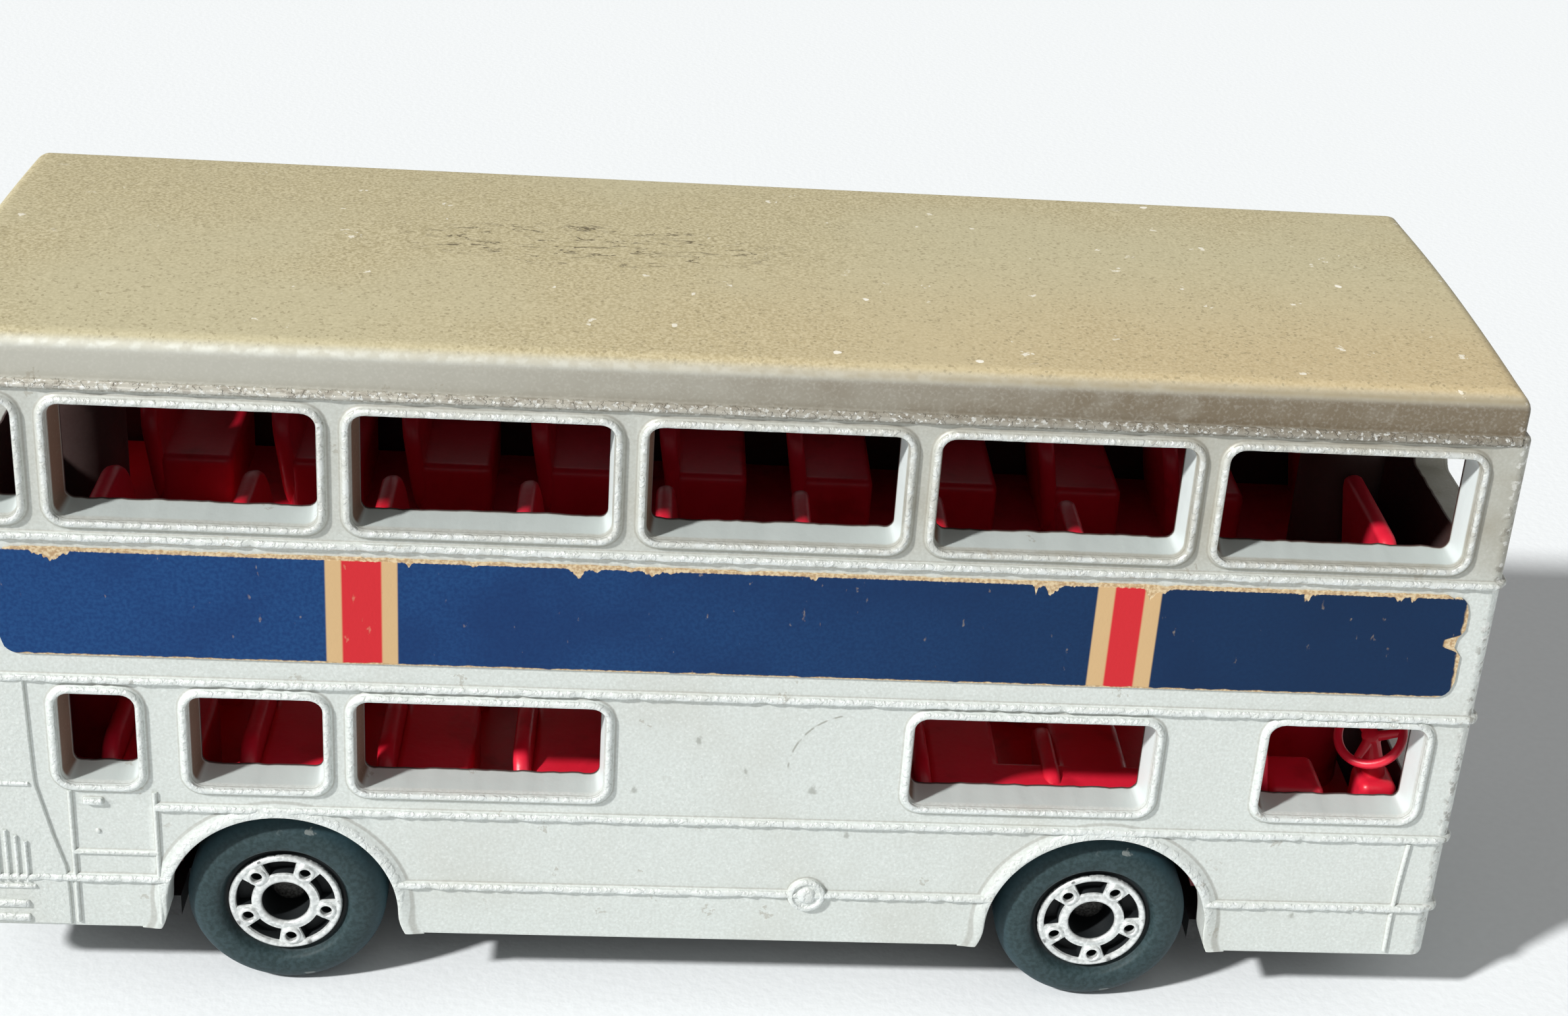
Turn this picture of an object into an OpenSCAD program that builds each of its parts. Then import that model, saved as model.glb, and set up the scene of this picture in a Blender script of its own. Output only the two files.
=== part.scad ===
// Small die-cast toy bus with two decks, open windows, moulded seats and free-rolling wheels.
// Millimetres. +X points to the front, +Y to the door side, +Z up. The origin lies on the ground
// under the middle of the bus.

/* [Body] */
// Length of the casting from front face to rear face
body_l = 75.6; // [72:0.1:84]
// Width of the casting over its flat sides
body_w = 25; // [24:0.1:28]
// Thickness of the cast walls
wall = 1.7; // [1.3:0.05:1.9]
// Height of the skirt's lower edge above the ground
skirt_z = 3.75; // [3.5:0.05:4]
// Corner radius of the front, above the waist bead
corner_r = 0.6; // [0.3:0.05:1]
// Corner radius of the front, below the waist bead
nose_r = 1.7; // [1:0.05:2]
// Corner radius of the rear
tail_r = 1.2; // [0.6:0.05:1.8]
// Radius of the hollow's corners
hollow_r = 0.7; // [0.4:0.05:1]

/* [Roof] */
// Height of the roof edge above the eaves
roof_rise = 2.2; // [1.9:0.05:2.6]
// Height of the roof's crown above its edges
roof_crown = 0.4; // [0.2:0.05:0.8]
// Rounding of the roof's edges
roof_edge_r = 1; // [0.6:0.05:1.2]
// How far the roof stands in from the side walls
roof_inset = 0.3; // [0.1:0.05:0.6]
// Thickness of the roof at its edges
roof_t = 1.5; // [1.2:0.05:1.7]

/* [Beads] */
// How far the beads stand proud
bead_out = 0.3; // [0.2:0.05:0.4]
// Height of a bead
bead_h = 0.36; // [0.25:0.01:0.45]
// Height of the lower bead above the skirt's edge
lower_bead_up = 3.08; // [2.5:0.02:3.4]
// Distance of the waist bead below the lower windows
waist_drop = 0.8; // [0.6:0.02:0.9]
// Distance of the divider bead above the lower windows
divider_lift = 0.33; // [0.25:0.01:0.45]
// Distance of the belt bead below the upper windows
belt_drop = 0.44; // [0.25:0.01:0.6]

/* [Windows] */
// Distance from the front face to the first upper window
bay_front = 1.8; // [1.6:0.05:2.2]
// Distance from the rear face to the last upper window
bay_rear = 1.4; // [1.3:0.05:2]
// Distance from one upper window to the next
bay_pitch = 13.7; // [13:0.1:14.4]
// Gap between two upper windows
bay_gap = 0.55; // [0.4:0.05:0.9]
// Narrowest upper window that is still made
bay_least = 2.6; // [2.5:0.1:4]
// Height of the lower windows' edge above the ground
lower_sill_z = 11.95; // [11.7:0.05:12.4]
// Height of the lower windows over their rims
lower_win_h = 6.15; // [5.8:0.05:6.6]
// Height of the panel between the two rows of windows
panel_h = 8.5; // [8:0.1:9.5]
// Height of the upper windows over their rims
upper_win_h = 6.9; // [6.4:0.05:7.4]
// Height of the strip above the upper windows
cant_h = 0.6; // [0.5:0.05:0.9]
// Width of a window rim
rim_w = 0.5; // [0.4:0.02:0.6]
// How far a rim stands proud
rim_out = 0.28; // [0.2:0.02:0.3]
// Outer corner radius of a rim
rim_r = 1; // [0.8:0.05:1.2]
// Distance from the rear face to the emergency door
emergency_rear = 5.3; // [5:0.05:5.8]
// Length of the emergency door's window
door_win_l = 4.75; // [4.2:0.05:5]
// Gap between the emergency door's window and the short window before it
short_win_gap = 1.5; // [1:0.1:2.4]
// Length of the driver's window
driver_win_l = 9; // [8:0.1:10]
// Half the width of the pillar in the middle of the front
front_pillar = 0.7; // [0.5:0.05:1]
// Distance from a front window to the side wall
front_margin = 0.9; // [0.7:0.05:1.2]
// Width of the rear window over its rim
rear_win_w = 17; // [14:0.5:19]

/* [Doors and panels] */
// How far the fine ridges stand proud
ridge_out = 0.16; // [0.1:0.02:0.24]
// Width of a fine ridge
ridge_w = 0.24; // [0.18:0.02:0.32]
// Width of one folding door
door_w = 9.2; // [8.5:0.1:9.8]
// Height of a folding door's lower edge above the skirt's edge
door_up = 0.8; // [0.6:0.05:1.2]
// Distance from the second upper window's rear end to the middle door
exit_back = 1.6; // [1:0.1:2.4]
// Radius of the filler cap
filler_r = 1; // [0.7:0.05:1.3]
// Distance of the filler cap behind the front axle
filler_back = 15.1; // [13:0.1:17]
// Radius of a head lamp
lamp_r = 0.95; // [0.7:0.05:1.1]
// Distance of the head lamps below the waist bead
lamp_drop = 2.2; // [1.6:0.05:2.4]
// Height of the front bumper
bumper_h = 1.3; // [1:0.05:1.5]
// Height of the bumpers' lower edge above the skirt's edge
bumper_up = 0.4; // [0.2:0.05:0.6]
// Width of the plain panel on the front
front_panel_w = 15; // [12:0.5:18]
// Height of the plain panel on the front
front_panel_h = 4.5; // [4:0.1:5]
// Height of the emergency door's lower edge above the lower bead
emergency_up = 1.4; // [1:0.05:1.8]
// Length of the emergency door's handle
handle_l = 0.9; // [0.7:0.05:1.2]
// Distance of the handle from the door's rear edge
handle_in = 1.1; // [0.9:0.05:1.4]
// Distance of the engine panel's edge behind the emergency door
engine_edge = 1.3; // [1:0.05:1.5]
// Height of the engine panel's ledge above the waist bead
ledge_up = 1; // [0.7:0.05:1.3]
// Number of louvres in the engine panels
louvres = 6; // [3:1:8]
// Distance from one rear louvre to the next
louvre_pitch = 1.1; // [0.8:0.05:1.2]
// Width of the engine cover on the rear
cover_w = 16.6; // [14:0.2:17]
// Height of the engine cover on the rear
cover_h = 10.6; // [10:0.1:11]
// Width of a rear lamp
rear_lamp_w = 1; // [0.8:0.05:1.2]
// Height of a rear lamp
rear_lamp_h = 3; // [2:0.1:3.4]

/* [Wheels] */
// Distance from the front face to the front axle
front_overhang = 17.8; // [17:0.1:18.6]
// Distance from the rear face to the rear axle
rear_overhang = 16.3; // [15.6:0.1:17.5]
// Outer radius of a tyre
tyre_r = 5; // [4.8:0.02:5.2]
// Width of a tyre
tyre_w = 3.4; // [3.1:0.05:3.6]
// Rounding of the tyre's shoulders
shoulder_r = 1.15; // [0.9:0.05:1.3]
// How far the wheel's face stands in from the side wall
wheel_inset = 0.4; // [0.3:0.05:0.7]
// Radius of the dish in the wheel's face
dish_r = 3.3; // [3.2:0.02:3.4]
// Depth of the dish
dish_depth = 0.55; // [0.45:0.05:0.65]
// Radius of the hub face
hub_r = 2.84; // [2.75:0.02:2.9]
// Height of the hub face in its dish
hub_rise = 0.22; // [0.15:0.01:0.3]
// Radius of the hub's middle hole
hub_hole_r = 1.2; // [1.15:0.01:1.3]
// Depth of the hub's middle hole from the wheel's face
hub_hole_depth = 2.2; // [2:0.05:2.4]
// Radius of the circle of holes in the hub face
hub_circle_r = 2.08; // [2.05:0.01:2.12]
// Radius of a round hole in the hub face
hub_dot_r = 0.32; // [0.26:0.01:0.36]
// Half the radial width of a long slot in the hub face
hub_slot_half = 0.36; // [0.3:0.01:0.4]
// Half the angle of a long slot in the hub face
hub_slot_angle = 17; // [13:1:19]
// Number of holes, and of slots, in the hub face
hub_holes = 5; // [4:1:6]
// Thickness of the web behind the dish
web_t = 0.9; // [0.7:0.05:1.1]
// Wall of the boss behind the hub's middle hole
boss_t = 0.5; // [0.4:0.05:0.7]
// Width of the flat bottom between hub face and dish wall
dish_flat = 0.1; // [0.06:0.02:0.16]
// Gap between a tyre and its arch
arch_gap = 0.75; // [0.6:0.05:0.9]
// Width of an arch's lip
arch_lip = 0.3; // [0.2:0.05:0.4]

/* [Axles] */
// Radius of the axle wire
axle_r = 0.5; // [0.4:0.01:0.6]
// Radius of the flattened axle end
axle_head_r = 0.8; // [0.7:0.01:1]
// Thickness of the flattened axle end
axle_head_t = 0.4; // [0.3:0.02:0.5]
// Running clearance round the axle
axle_play = 0.06; // [0.04:0.01:0.08]
// End play of a wheel on its axle
end_play = 0.12; // [0.08:0.01:0.2]

/* [Base plate] */
// Height of the base plate's underside above the ground
base_z = 3.1; // [2.9:0.05:3.3]
// Thickness of the base plate
base_t = 1.2; // [1:0.05:1.3]
// Thickness of an axle lug along the axle
lug_t = 1.6; // [1.2:0.1:2]
// Half the length of an axle lug
lug_half = 1.5; // [1.2:0.1:2]
// Distance of a lug from the edge of the wheel's notch
lug_in = 0.1; // [0.05:0.05:0.4]

/* [Rivet posts] */
// Radius of a post below the upper deck
post_r = 1.6; // [1.4:0.05:1.7]
// Radius of a post above the upper deck
post_top_r = 2.2; // [2.05:0.05:2.4]
// Radius of a post's tip
tip_r = 1; // [0.8:0.05:1.1]
// Radius of a spread rivet head
rivet_r = 1.5; // [1.3:0.05:1.7]
// Thickness of a spread rivet head
rivet_t = 0.5; // [0.4:0.05:0.6]
// Distance of the front post from the front face
front_post_in = 5; // [4.8:0.1:5.6]
// Distance of the rear post from the rear face
rear_post_in = 4.8; // [4.6:0.1:5.4]

/* [Decks] */
// Thickness of the deck floors
deck_t = 0.8; // [0.6:0.05:1]
// Height of the lower deck's floor above the base plate
lower_floor_up = 2.1; // [1.9:0.05:2.3]
// Height of the upper deck above the lower windows' top
upper_floor_up = 0.8; // [0.6:0.05:1.2]
// Wall of the sleeves round the posts and of the wheel boxes
sleeve_t = 0.8; // [0.6:0.05:1]
// Length of a foot under the lower deck
foot_l = 3; // [2:0.1:4]

/* [Seats] */
// Distance from one row of seats to the next
seat_pitch = 6.85; // [6.4:0.05:7.4]
// Distance from the front face to the first seat back
seat_front = 5.4; // [5.3:0.1:6.4]
// Distance from the rear face to the last seat row, at least
seat_rear = 5.5; // [5:0.1:8]
// Half the width of the gangway
gangway = 2.9; // [2.8:0.05:3.2]
// Gap between the seats and the side walls
seat_gap = 0.5; // [0.4:0.05:0.8]
// Thickness of a seat back
back_t = 0.9; // [0.7:0.05:1.2]
// Height of an upper seat back above its floor
upper_back_h = 7.7; // [7:0.1:8]
// Height of a lower seat back above its floor
lower_back_h = 6.2; // [5.5:0.1:6.5]
// Height of a seat cushion above its floor
cushion_h = 3; // [2.6:0.1:3.4]
// Depth of a seat cushion
cushion_d = 3.2; // [2.8:0.1:3.6]
// Rake of the seat backs in degrees
rake = 8; // [4:1:12]
// Rounding of the seat backs' upper corners
seat_r = 1.1; // [0.6:0.1:1.6]
// Width of the driver's seat
driver_w = 3.4; // [3:0.1:4]
// Depth of the driver's cushion
driver_d = 2.6; // [2.2:0.1:2.8]
// Distance of the driver's seat back behind the steering wheel
driver_back = 3.8; // [3.6:0.1:4.4]
// Radius of the steering wheel
steer_r = 1.85; // [1.5:0.05:1.9]
// Thickness of the steering wheel's rim
steer_t = 0.46; // [0.36:0.02:0.6]
// Height of the steering wheel above the lower floor
steer_up = 7.4; // [7:0.1:7.8]
// Distance from the front face to the steering wheel
steer_front = 4.1; // [3.9:0.05:4.4]
// Distance from the side wall to the steering wheel
steer_side = 3.9; // [3.7:0.05:4.4]
// Rearward lean of the steering column in degrees
steer_lean = 24; // [15:1:30]
// Radius of the steering column
column_r = 0.5; // [0.4:0.05:0.6]
// Length of the steering column
column_l = 3.8; // [3.4:0.1:4]
// Width of the box that carries the steering column
dash_w = 2.4; // [2:0.1:2.8]
// Depth of the box that carries the steering column
dash_d = 2; // [1.8:0.05:2.1]
// Height of the box that carries the steering column
dash_h = 4.6; // [4.4:0.1:5]

/* [Side labels] */
// Height of a paper label
label_h = 5.75; // [5.2:0.05:6]
// Thickness of a paper label
label_t = 0.12; // [0.08:0.01:0.16]
// Distance from the front face to the label
label_front = 1.5; // [1.4:0.05:2]
// Distance from the rear face to the label
label_rear = 3.5; // [3:0.05:5]
// Gap between the label and the bead above it
label_drop = 0.35; // [0.2:0.05:0.5]
// Corner radius of a label
label_r = 0.9; // [0.5:0.05:1.2]

/* [Clearances] */
// Gap between the casting's walls and the pieces inside it
fit_gap = 0.25; // [0.15:0.05:0.4]
// Gap between a post and what it passes through
post_gap = 0.2; // [0.1:0.05:0.3]
// Gap between a wheel and the pieces beside it
wheel_gap = 0.5; // [0.4:0.05:0.7]
// Gap between an axle and the rib that keeps it down
keep_gap = 0.1; // [0.06:0.01:0.15]

/* [Hidden] */
$fn = 48;
// Overlap that lets joined shapes grow together, and cuts pass clear of a face
join = 0.1;
past = 1;

// Main planes of the casting
front_x = body_l / 2;
rear_x = -body_l / 2;
side_y = body_w / 2;
inner_y = side_y - wall;
waist_z = lower_sill_z - waist_drop;
lower_bead_z = skirt_z + lower_bead_up;
lower_win_top = lower_sill_z + lower_win_h;
divider_z = lower_win_top + divider_lift;
upper_sill_z = lower_win_top + panel_h;
belt_z = upper_sill_z - belt_drop;
eaves_z = upper_sill_z + upper_win_h + cant_h;
roof_z = eaves_z + roof_rise;
ceiling_z = roof_z - roof_t;
roof_w = body_w - 2 * roof_inset;
roof_l = body_l - 2 * roof_inset;

// Upper window bays, counted from the front
bay_w = bay_pitch - bay_gap;
bays = floor((body_l - bay_front - bay_rear + bay_gap) / bay_pitch);
last_bay_w = body_l - bay_front - bay_rear - bays * bay_pitch;
function bay_end(i) = front_x - bay_front - i * bay_pitch;
function bay_start(i) = bay_end(i) - bay_w;
// The bay with no lower window, and the lower windows behind it
blank_bay = 2;
last_lower_bay = max(blank_bay, bays - 2);
emergency_start = rear_x + emergency_rear;
emergency_end = emergency_start + door_win_l;
short_start = emergency_end + short_win_gap;
short_end = bay_start(last_lower_bay) - bay_gap;

// Wheels and axles
axle_z = tyre_r;
front_axle_x = front_x - front_overhang;
rear_axle_x = rear_x + rear_overhang;
wheel_face_y = side_y - wheel_inset;
wheel_back_y = wheel_face_y - tyre_w;
web_face_y = wheel_face_y - hub_hole_depth;
arch_r = tyre_r + arch_gap;
bore_r = axle_r + axle_play;
well_r = tyre_r + wheel_gap;
well_y = wheel_back_y - wheel_gap;
lug_y = well_y - lug_in;

// Floors, posts and seats
base_top = base_z + base_t;
lower_floor_z = base_top + lower_floor_up;
lower_floor_top = lower_floor_z + deck_t;
upper_floor_z = lower_win_top + upper_floor_up;
upper_floor_top = upper_floor_z + deck_t;
deck_l = body_l - 2 * (wall + fit_gap);
deck_w = body_w - 2 * (wall + fit_gap);
post_hole_r = post_r + post_gap;
sleeve_r = post_hole_r + sleeve_t;
front_post_x = front_x - front_post_in;
rear_post_x = rear_x + rear_post_in;
seat_out = inner_y - seat_gap;
seat_w = seat_out - gangway;
seat_rows = floor((body_l - seat_front - seat_rear) / seat_pitch) + 1;
function seat_x(i) = front_x - seat_front - i * seat_pitch;
// Rows that the driver's cab takes up, and rows beside the middle door
cab_rows = 2;
exit_end = bay_start(1) - exit_back;
exit_start = exit_end - door_w;
entrance_end = bay_end(0);
entrance_start = entrance_end - door_w;

// Labels
label_top = belt_z - bead_h / 2 - label_drop;
label_bottom = label_top - label_h;
label_end = front_x - label_front;
label_l = body_l - label_front - label_rear;

// Rectangle with round corners, lower left corner at the origin
module round_rect(w, h, r) {
    translate([r, 0]) square([w - 2 * r, h]);
    translate([0, r]) square([w, h - 2 * r]);
    for (x = [r, w - r], y = [r, h - r]) translate([x, y]) circle(r);
}

// Outline of the bus seen from above, with its own corner radius at each end
module plan(l, w, front_r, end_r) {
    translate([-l / 2 + end_r, -w / 2]) square([l - end_r - front_r, w]);
    translate([-l / 2, -w / 2 + end_r]) square([l / 2, w - 2 * end_r]);
    translate([0, -w / 2 + front_r]) square([l / 2, w - 2 * front_r]);
    for (s = [-1, 1]) {
        translate([-l / 2 + end_r, s * (w / 2 - end_r)]) circle(end_r);
        translate([l / 2 - front_r, s * (w / 2 - front_r)]) circle(front_r);
    }
}

// Shape drawn in X and Z, extruded between two places along Y
module across(y0, y1) {
    translate([0, y1, 0]) rotate([90, 0, 0]) linear_extrude(y1 - y0) children();
}

// Shape drawn in Y and Z, extruded between two places along X
module along(x0, x1) {
    translate([x0, 0, 0]) rotate([90, 0, 90]) linear_extrude(x1 - x0) children();
}

// Plate on a side wall: side is -1 for the driver's side and 1 for the door side
module on_side(side, out) {
    y0 = side < 0 ? -side_y - out : side_y - join;
    across(y0, y0 + out + join) children();
}

// Section of the roof, in Y and Z
module roof_section() {
    flat = roof_w / 2 - roof_edge_r;
    crown_r = (pow(flat, 2) + pow(roof_crown, 2)) / (2 * roof_crown);
    translate([-roof_w / 2, eaves_z - join]) square([roof_w, roof_rise - roof_edge_r + join]);
    translate([-flat, eaves_z]) square([2 * flat, roof_rise]);
    for (s = [-1, 1]) translate([s * flat, roof_z - roof_edge_r]) circle(roof_edge_r);
    intersection() {
        translate([0, roof_z + roof_crown - crown_r]) circle(crown_r, $fn = 180);
        translate([-flat, roof_z - join]) square([2 * flat, roof_crown + 2 * join]);
    }
}

// Side view of the roof, in X and Z
module roof_profile() {
    top = roof_rise + roof_crown + join;
    flat = roof_l / 2 - roof_edge_r;
    translate([-roof_l / 2, eaves_z - join]) square([roof_l, top - roof_edge_r]);
    translate([-flat, eaves_z]) square([2 * flat, top - join]);
    for (s = [-1, 1]) translate([s * flat, eaves_z + top - join - roof_edge_r]) circle(roof_edge_r);
}

module roof() {
    intersection() {
        along(rear_x, front_x) roof_section();
        across(-side_y, side_y) roof_profile();
        translate([0, 0, eaves_z - past]) linear_extrude(roof_rise + roof_crown + 2 * past)
            plan(roof_l, roof_w, corner_r, tail_r);
    }
}

// One bead round the whole body
module bead(z, front_r) {
    translate([0, 0, z - bead_h / 2]) linear_extrude(bead_h)
        plan(body_l + 2 * bead_out, body_w + 2 * bead_out, front_r + bead_out, tail_r + bead_out);
}

// Windows of one side in X and Z: grow is 0 over the rims and minus the rim's width in the opening
module window(x0, x1, z0, h, grow) {
    translate([x0 - grow, z0 - grow]) round_rect(x1 - x0 + 2 * grow, h + 2 * grow, rim_r + grow);
}

module upper_windows(grow) {
    for (i = [0 : bays - 1]) window(bay_start(i), bay_end(i), upper_sill_z, upper_win_h, grow);
    if (last_bay_w >= bay_least)
        window(rear_x + bay_rear, rear_x + bay_rear + last_bay_w, upper_sill_z, upper_win_h, grow);
}

module lower_windows(side, grow) {
    for (i = [1 : last_lower_bay])
        if (i != blank_bay) window(bay_start(i), bay_end(i), lower_sill_z, lower_win_h, grow);
    if (short_end - short_start >= bay_least) window(short_start, short_end, lower_sill_z, lower_win_h, grow);
    window(emergency_start, emergency_end, lower_sill_z, lower_win_h, grow);
    if (side < 0) window(bay_end(0) - driver_win_l, bay_end(0), lower_sill_z, lower_win_h, grow);
}

// Two leaves of a folding door, each with one tall window
module door_leaves(x0, grow) {
    leaf = door_w / 2;
    z0 = skirt_z + door_up;
    for (k = [0, 1]) window(x0 + k * leaf, x0 + (k + 1) * leaf, z0, lower_win_top - z0, grow);
}

// Front and rear windows, in Y and Z
module front_windows(grow) {
    w = side_y - front_margin - front_pillar;
    for (z_h = [[upper_sill_z, upper_win_h], [lower_sill_z, lower_win_h]])
        for (y0 = [front_pillar, -front_pillar - w])
            window(y0, y0 + w, z_h[0], z_h[1], grow);
}

module rear_window(grow) {
    window(-rear_win_w / 2, rear_win_w / 2, upper_sill_z, upper_win_h, grow);
}

// Raised line on a side wall
module ridge(side, x0, x1, z0, z1) {
    on_side(side, ridge_out) translate([x0, z0]) square([x1 - x0, z1 - z0]);
}

// Emergency door on the driver's side: its edges, lower edge and handle
module emergency_door() {
    sill = lower_bead_z + emergency_up;
    handle = emergency_start + handle_in;
    for (x = [emergency_start, emergency_end])
        ridge(-1, x - ridge_w / 2, x + ridge_w / 2, skirt_z, lower_sill_z);
    ridge(-1, emergency_start, emergency_end, sill, sill + ridge_w);
    ridge(-1, handle, handle + handle_l, waist_z, waist_z + 2 * ridge_w);
}

// Engine panel at the rear of a side: its edge, ledge, louvres and bumper line
module engine_panel(side) {
    start = rear_x + tail_r;
    edge = emergency_start - engine_edge;
    ledge = waist_z + ledge_up;
    step = (edge - start) / louvres;
    ridge(side, edge, edge + ridge_w, ledge, divider_z);
    ridge(side, start, edge, ledge, ledge + ridge_w);
    for (i = [0 : louvres - 1])
        ridge(side, start + i * step, start + i * step + ridge_w, lower_bead_z, waist_z - ridge_w);
    ridge(side, start, edge, skirt_z + bumper_up, skirt_z + bumper_up + 2 * ridge_w);
}

// Frame of a folding door on the door side
module door_frame(x0) {
    on_side(1, rim_out) door_leaves(x0, 0);
}

// Head lamps, bumper and plain panel on the front
module front_fittings() {
    panel_z = divider_z + (belt_z - divider_z - front_panel_h) / 2;
    for (s = [-1, 1]) translate([front_x - join, s * (side_y - nose_r - 2 * lamp_r), waist_z - lamp_drop])
        rotate([0, 90, 0]) cylinder(r = lamp_r, h = bead_out + join);
    translate([front_x - join, -side_y + nose_r, skirt_z + bumper_up])
        cube([bead_out + join, body_w - 2 * nose_r, bumper_h]);
    along(front_x - join, front_x + ridge_out)
        translate([-front_panel_w / 2, panel_z]) round_rect(front_panel_w, front_panel_h, rim_r);
}

// Engine cover with louvres, lamps and bumper on the rear
module rear_fittings() {
    lamp_y = side_y - tail_r - 2 * rear_lamp_w;
    along(rear_x - ridge_out, rear_x + join) translate([-cover_w / 2, divider_z - bead_h - cover_h])
        round_rect(cover_w, cover_h, rim_r);
    for (i = [0 : louvres - 1])
        translate([rear_x - bead_out, -cover_w / 2 + rim_r, lower_bead_z + (i + 1) * louvre_pitch])
            cube([bead_out + join, cover_w - 2 * rim_r, 2 * ridge_w]);
    for (s = [-1, 1])
        translate([rear_x - bead_out, s * lamp_y - rear_lamp_w / 2, lower_bead_z + louvre_pitch])
            cube([bead_out + join, rear_lamp_w, rear_lamp_h]);
    translate([rear_x - bead_out, -side_y + tail_r, skirt_z + bumper_up])
        cube([bead_out + join, body_w - 2 * tail_r, bumper_h]);
}

// Post from the ceiling to the base plate, its tip spread below the plate
module rivet_post(x) {
    translate([x, 0, upper_floor_top]) cylinder(r = post_top_r, h = ceiling_z - upper_floor_top + join);
    translate([x, 0, base_top]) cylinder(r = post_r, h = upper_floor_top - base_top);
    translate([x, 0, base_z]) cylinder(r = tip_r, h = base_t + join);
    translate([x, 0, base_z]) cylinder(r = rivet_r, h = rivet_t);
}

module body_shell() {
    color("gainsboro") {
        difference() {
            union() {
                translate([0, 0, skirt_z]) linear_extrude(waist_z - skirt_z)
                    plan(body_l, body_w, nose_r, tail_r);
                translate([0, 0, waist_z]) linear_extrude(eaves_z - waist_z)
                    plan(body_l, body_w, corner_r, tail_r);
                roof();
                bead(belt_z, corner_r);
                bead(divider_z, corner_r);
                bead(waist_z, nose_r);
                bead(lower_bead_z, nose_r);
                for (s = [-1, 1]) {
                    on_side(s, bead_out) translate([rear_x + tail_r, eaves_z - bead_h])
                        square([body_l - tail_r - corner_r, bead_h]);
                    on_side(s, rim_out) upper_windows(0);
                    on_side(s, rim_out) lower_windows(s, 0);
                    on_side(s, bead_out) intersection() {
                        for (x = [front_axle_x, rear_axle_x])
                            translate([x, axle_z]) circle(arch_r + arch_lip);
                        translate([rear_x, skirt_z]) square([body_l, body_l]);
                    }
                    engine_panel(s);
                }
                emergency_door();
                on_side(-1, bead_out) translate([front_axle_x - filler_back, lower_bead_z])
                    circle(filler_r);
                door_frame(exit_start);
                door_frame(entrance_start);
                along(front_x - join, front_x + rim_out) front_windows(0);
                along(rear_x - rim_out, rear_x + join) rear_window(0);
                front_fittings();
                rear_fittings();
            }
            translate([0, 0, skirt_z - past]) linear_extrude(ceiling_z - skirt_z + past)
                plan(body_l - 2 * wall, body_w - 2 * wall, hollow_r, hollow_r);
            across(-side_y - past, side_y + past) upper_windows(-rim_w);
            across(-side_y - past, 0) lower_windows(-1, -rim_w);
            across(0, side_y + past) {
                lower_windows(1, -rim_w);
                door_leaves(exit_start, -rim_w);
                door_leaves(entrance_start, -rim_w);
            }
            across(-side_y - past, side_y + past)
                for (x = [front_axle_x, rear_axle_x]) translate([x, axle_z]) circle(arch_r);
            along(front_x - wall - join, front_x + past) front_windows(-rim_w);
            along(rear_x - past, rear_x + wall + join) rear_window(-rim_w);
        }
        rivet_post(front_post_x);
        rivet_post(rear_post_x);
    }
}

// Room for the wheels, inside the casting
module wheel_wells(r) {
    for (x = [front_axle_x, rear_axle_x], s = [-1, 1])
        translate([x, s * (well_y + side_y) / 2, axle_z]) rotate([90, 0, 0])
            cylinder(r = r, h = side_y - well_y, center = true);
}

module base_plate() {
    color("dimgray") difference() {
        union() {
            translate([0, 0, base_z]) linear_extrude(base_t) plan(deck_l, deck_w, hollow_r, hollow_r);
            for (x = [front_axle_x, rear_axle_x], s = [-1, 1])
                translate([x - lug_half, s * (lug_y - lug_t / 2) - lug_t / 2, base_top - join])
                    cube([2 * lug_half, lug_t, axle_z + axle_r - base_top + join]);
        }
        for (x = [front_axle_x, rear_axle_x]) {
            for (s = [-1, 1]) translate([x - well_r, s > 0 ? well_y : -side_y, base_z - past])
                cube([2 * well_r, side_y - well_y, base_t + 2 * past]);
            translate([x, 0, axle_z]) rotate([90, 0, 0]) cylinder(r = bore_r, h = deck_w, center = true);
            translate([x - bore_r, -deck_w / 2, axle_z]) cube([2 * bore_r, deck_w, past]);
        }
        for (x = [front_post_x, rear_post_x]) {
            translate([x, 0, base_z - past]) cylinder(r = tip_r + post_gap / 2, h = base_t + 2 * past);
            translate([x, 0, base_z - past]) cylinder(r = rivet_r + post_gap, h = rivet_t + past);
        }
    }
}

// One pair of seats beside the gangway: a raked back with round corners, and a cushion
module seat(x, side, z, w, back_h, depth) {
    y0 = side > 0 ? gangway : -seat_out;
    translate([x, y0, z - join]) {
        cube([depth, w, cushion_h + join]);
        translate([-back_t, 0, 0]) cube([2 * back_t, w, cushion_h / 2]);
        rotate([0, -rake, 0]) along(-back_t, 0) {
            square([w, back_h - seat_r]);
            translate([seat_r, 0]) square([w - 2 * seat_r, back_h]);
            for (y = [seat_r, w - seat_r]) translate([y, back_h - seat_r]) circle(seat_r);
        }
    }
}

// Holes for the posts
module post_holes() {
    for (x = [front_post_x, rear_post_x])
        translate([x, 0, 0]) cylinder(r = post_hole_r, h = roof_z);
}

// Driver's seat, steering wheel with its column, and the box that carries it
module driver_cab() {
    x = front_x - steer_front;
    y = -side_y + steer_side;
    spoke = steer_r - steer_t / 2;
    seat(x - driver_back, -1, lower_floor_top, driver_w, lower_back_h, driver_d);
    translate([x, y, lower_floor_top + steer_up]) rotate([0, -steer_lean, 0]) {
        rotate_extrude() translate([spoke, 0]) circle(steer_t / 2, $fn = 24);
        for (a = [60, 180, 300]) rotate([0, 0, a]) translate([0, -steer_t / 2, -steer_t / 2])
            cube([spoke, steer_t, steer_t]);
        translate([0, 0, -column_l]) cylinder(r = column_r, h = column_l);
    }
    translate([x, y - dash_w / 2, lower_floor_top - join]) cube([dash_d, dash_w, dash_h + join]);
}

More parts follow.
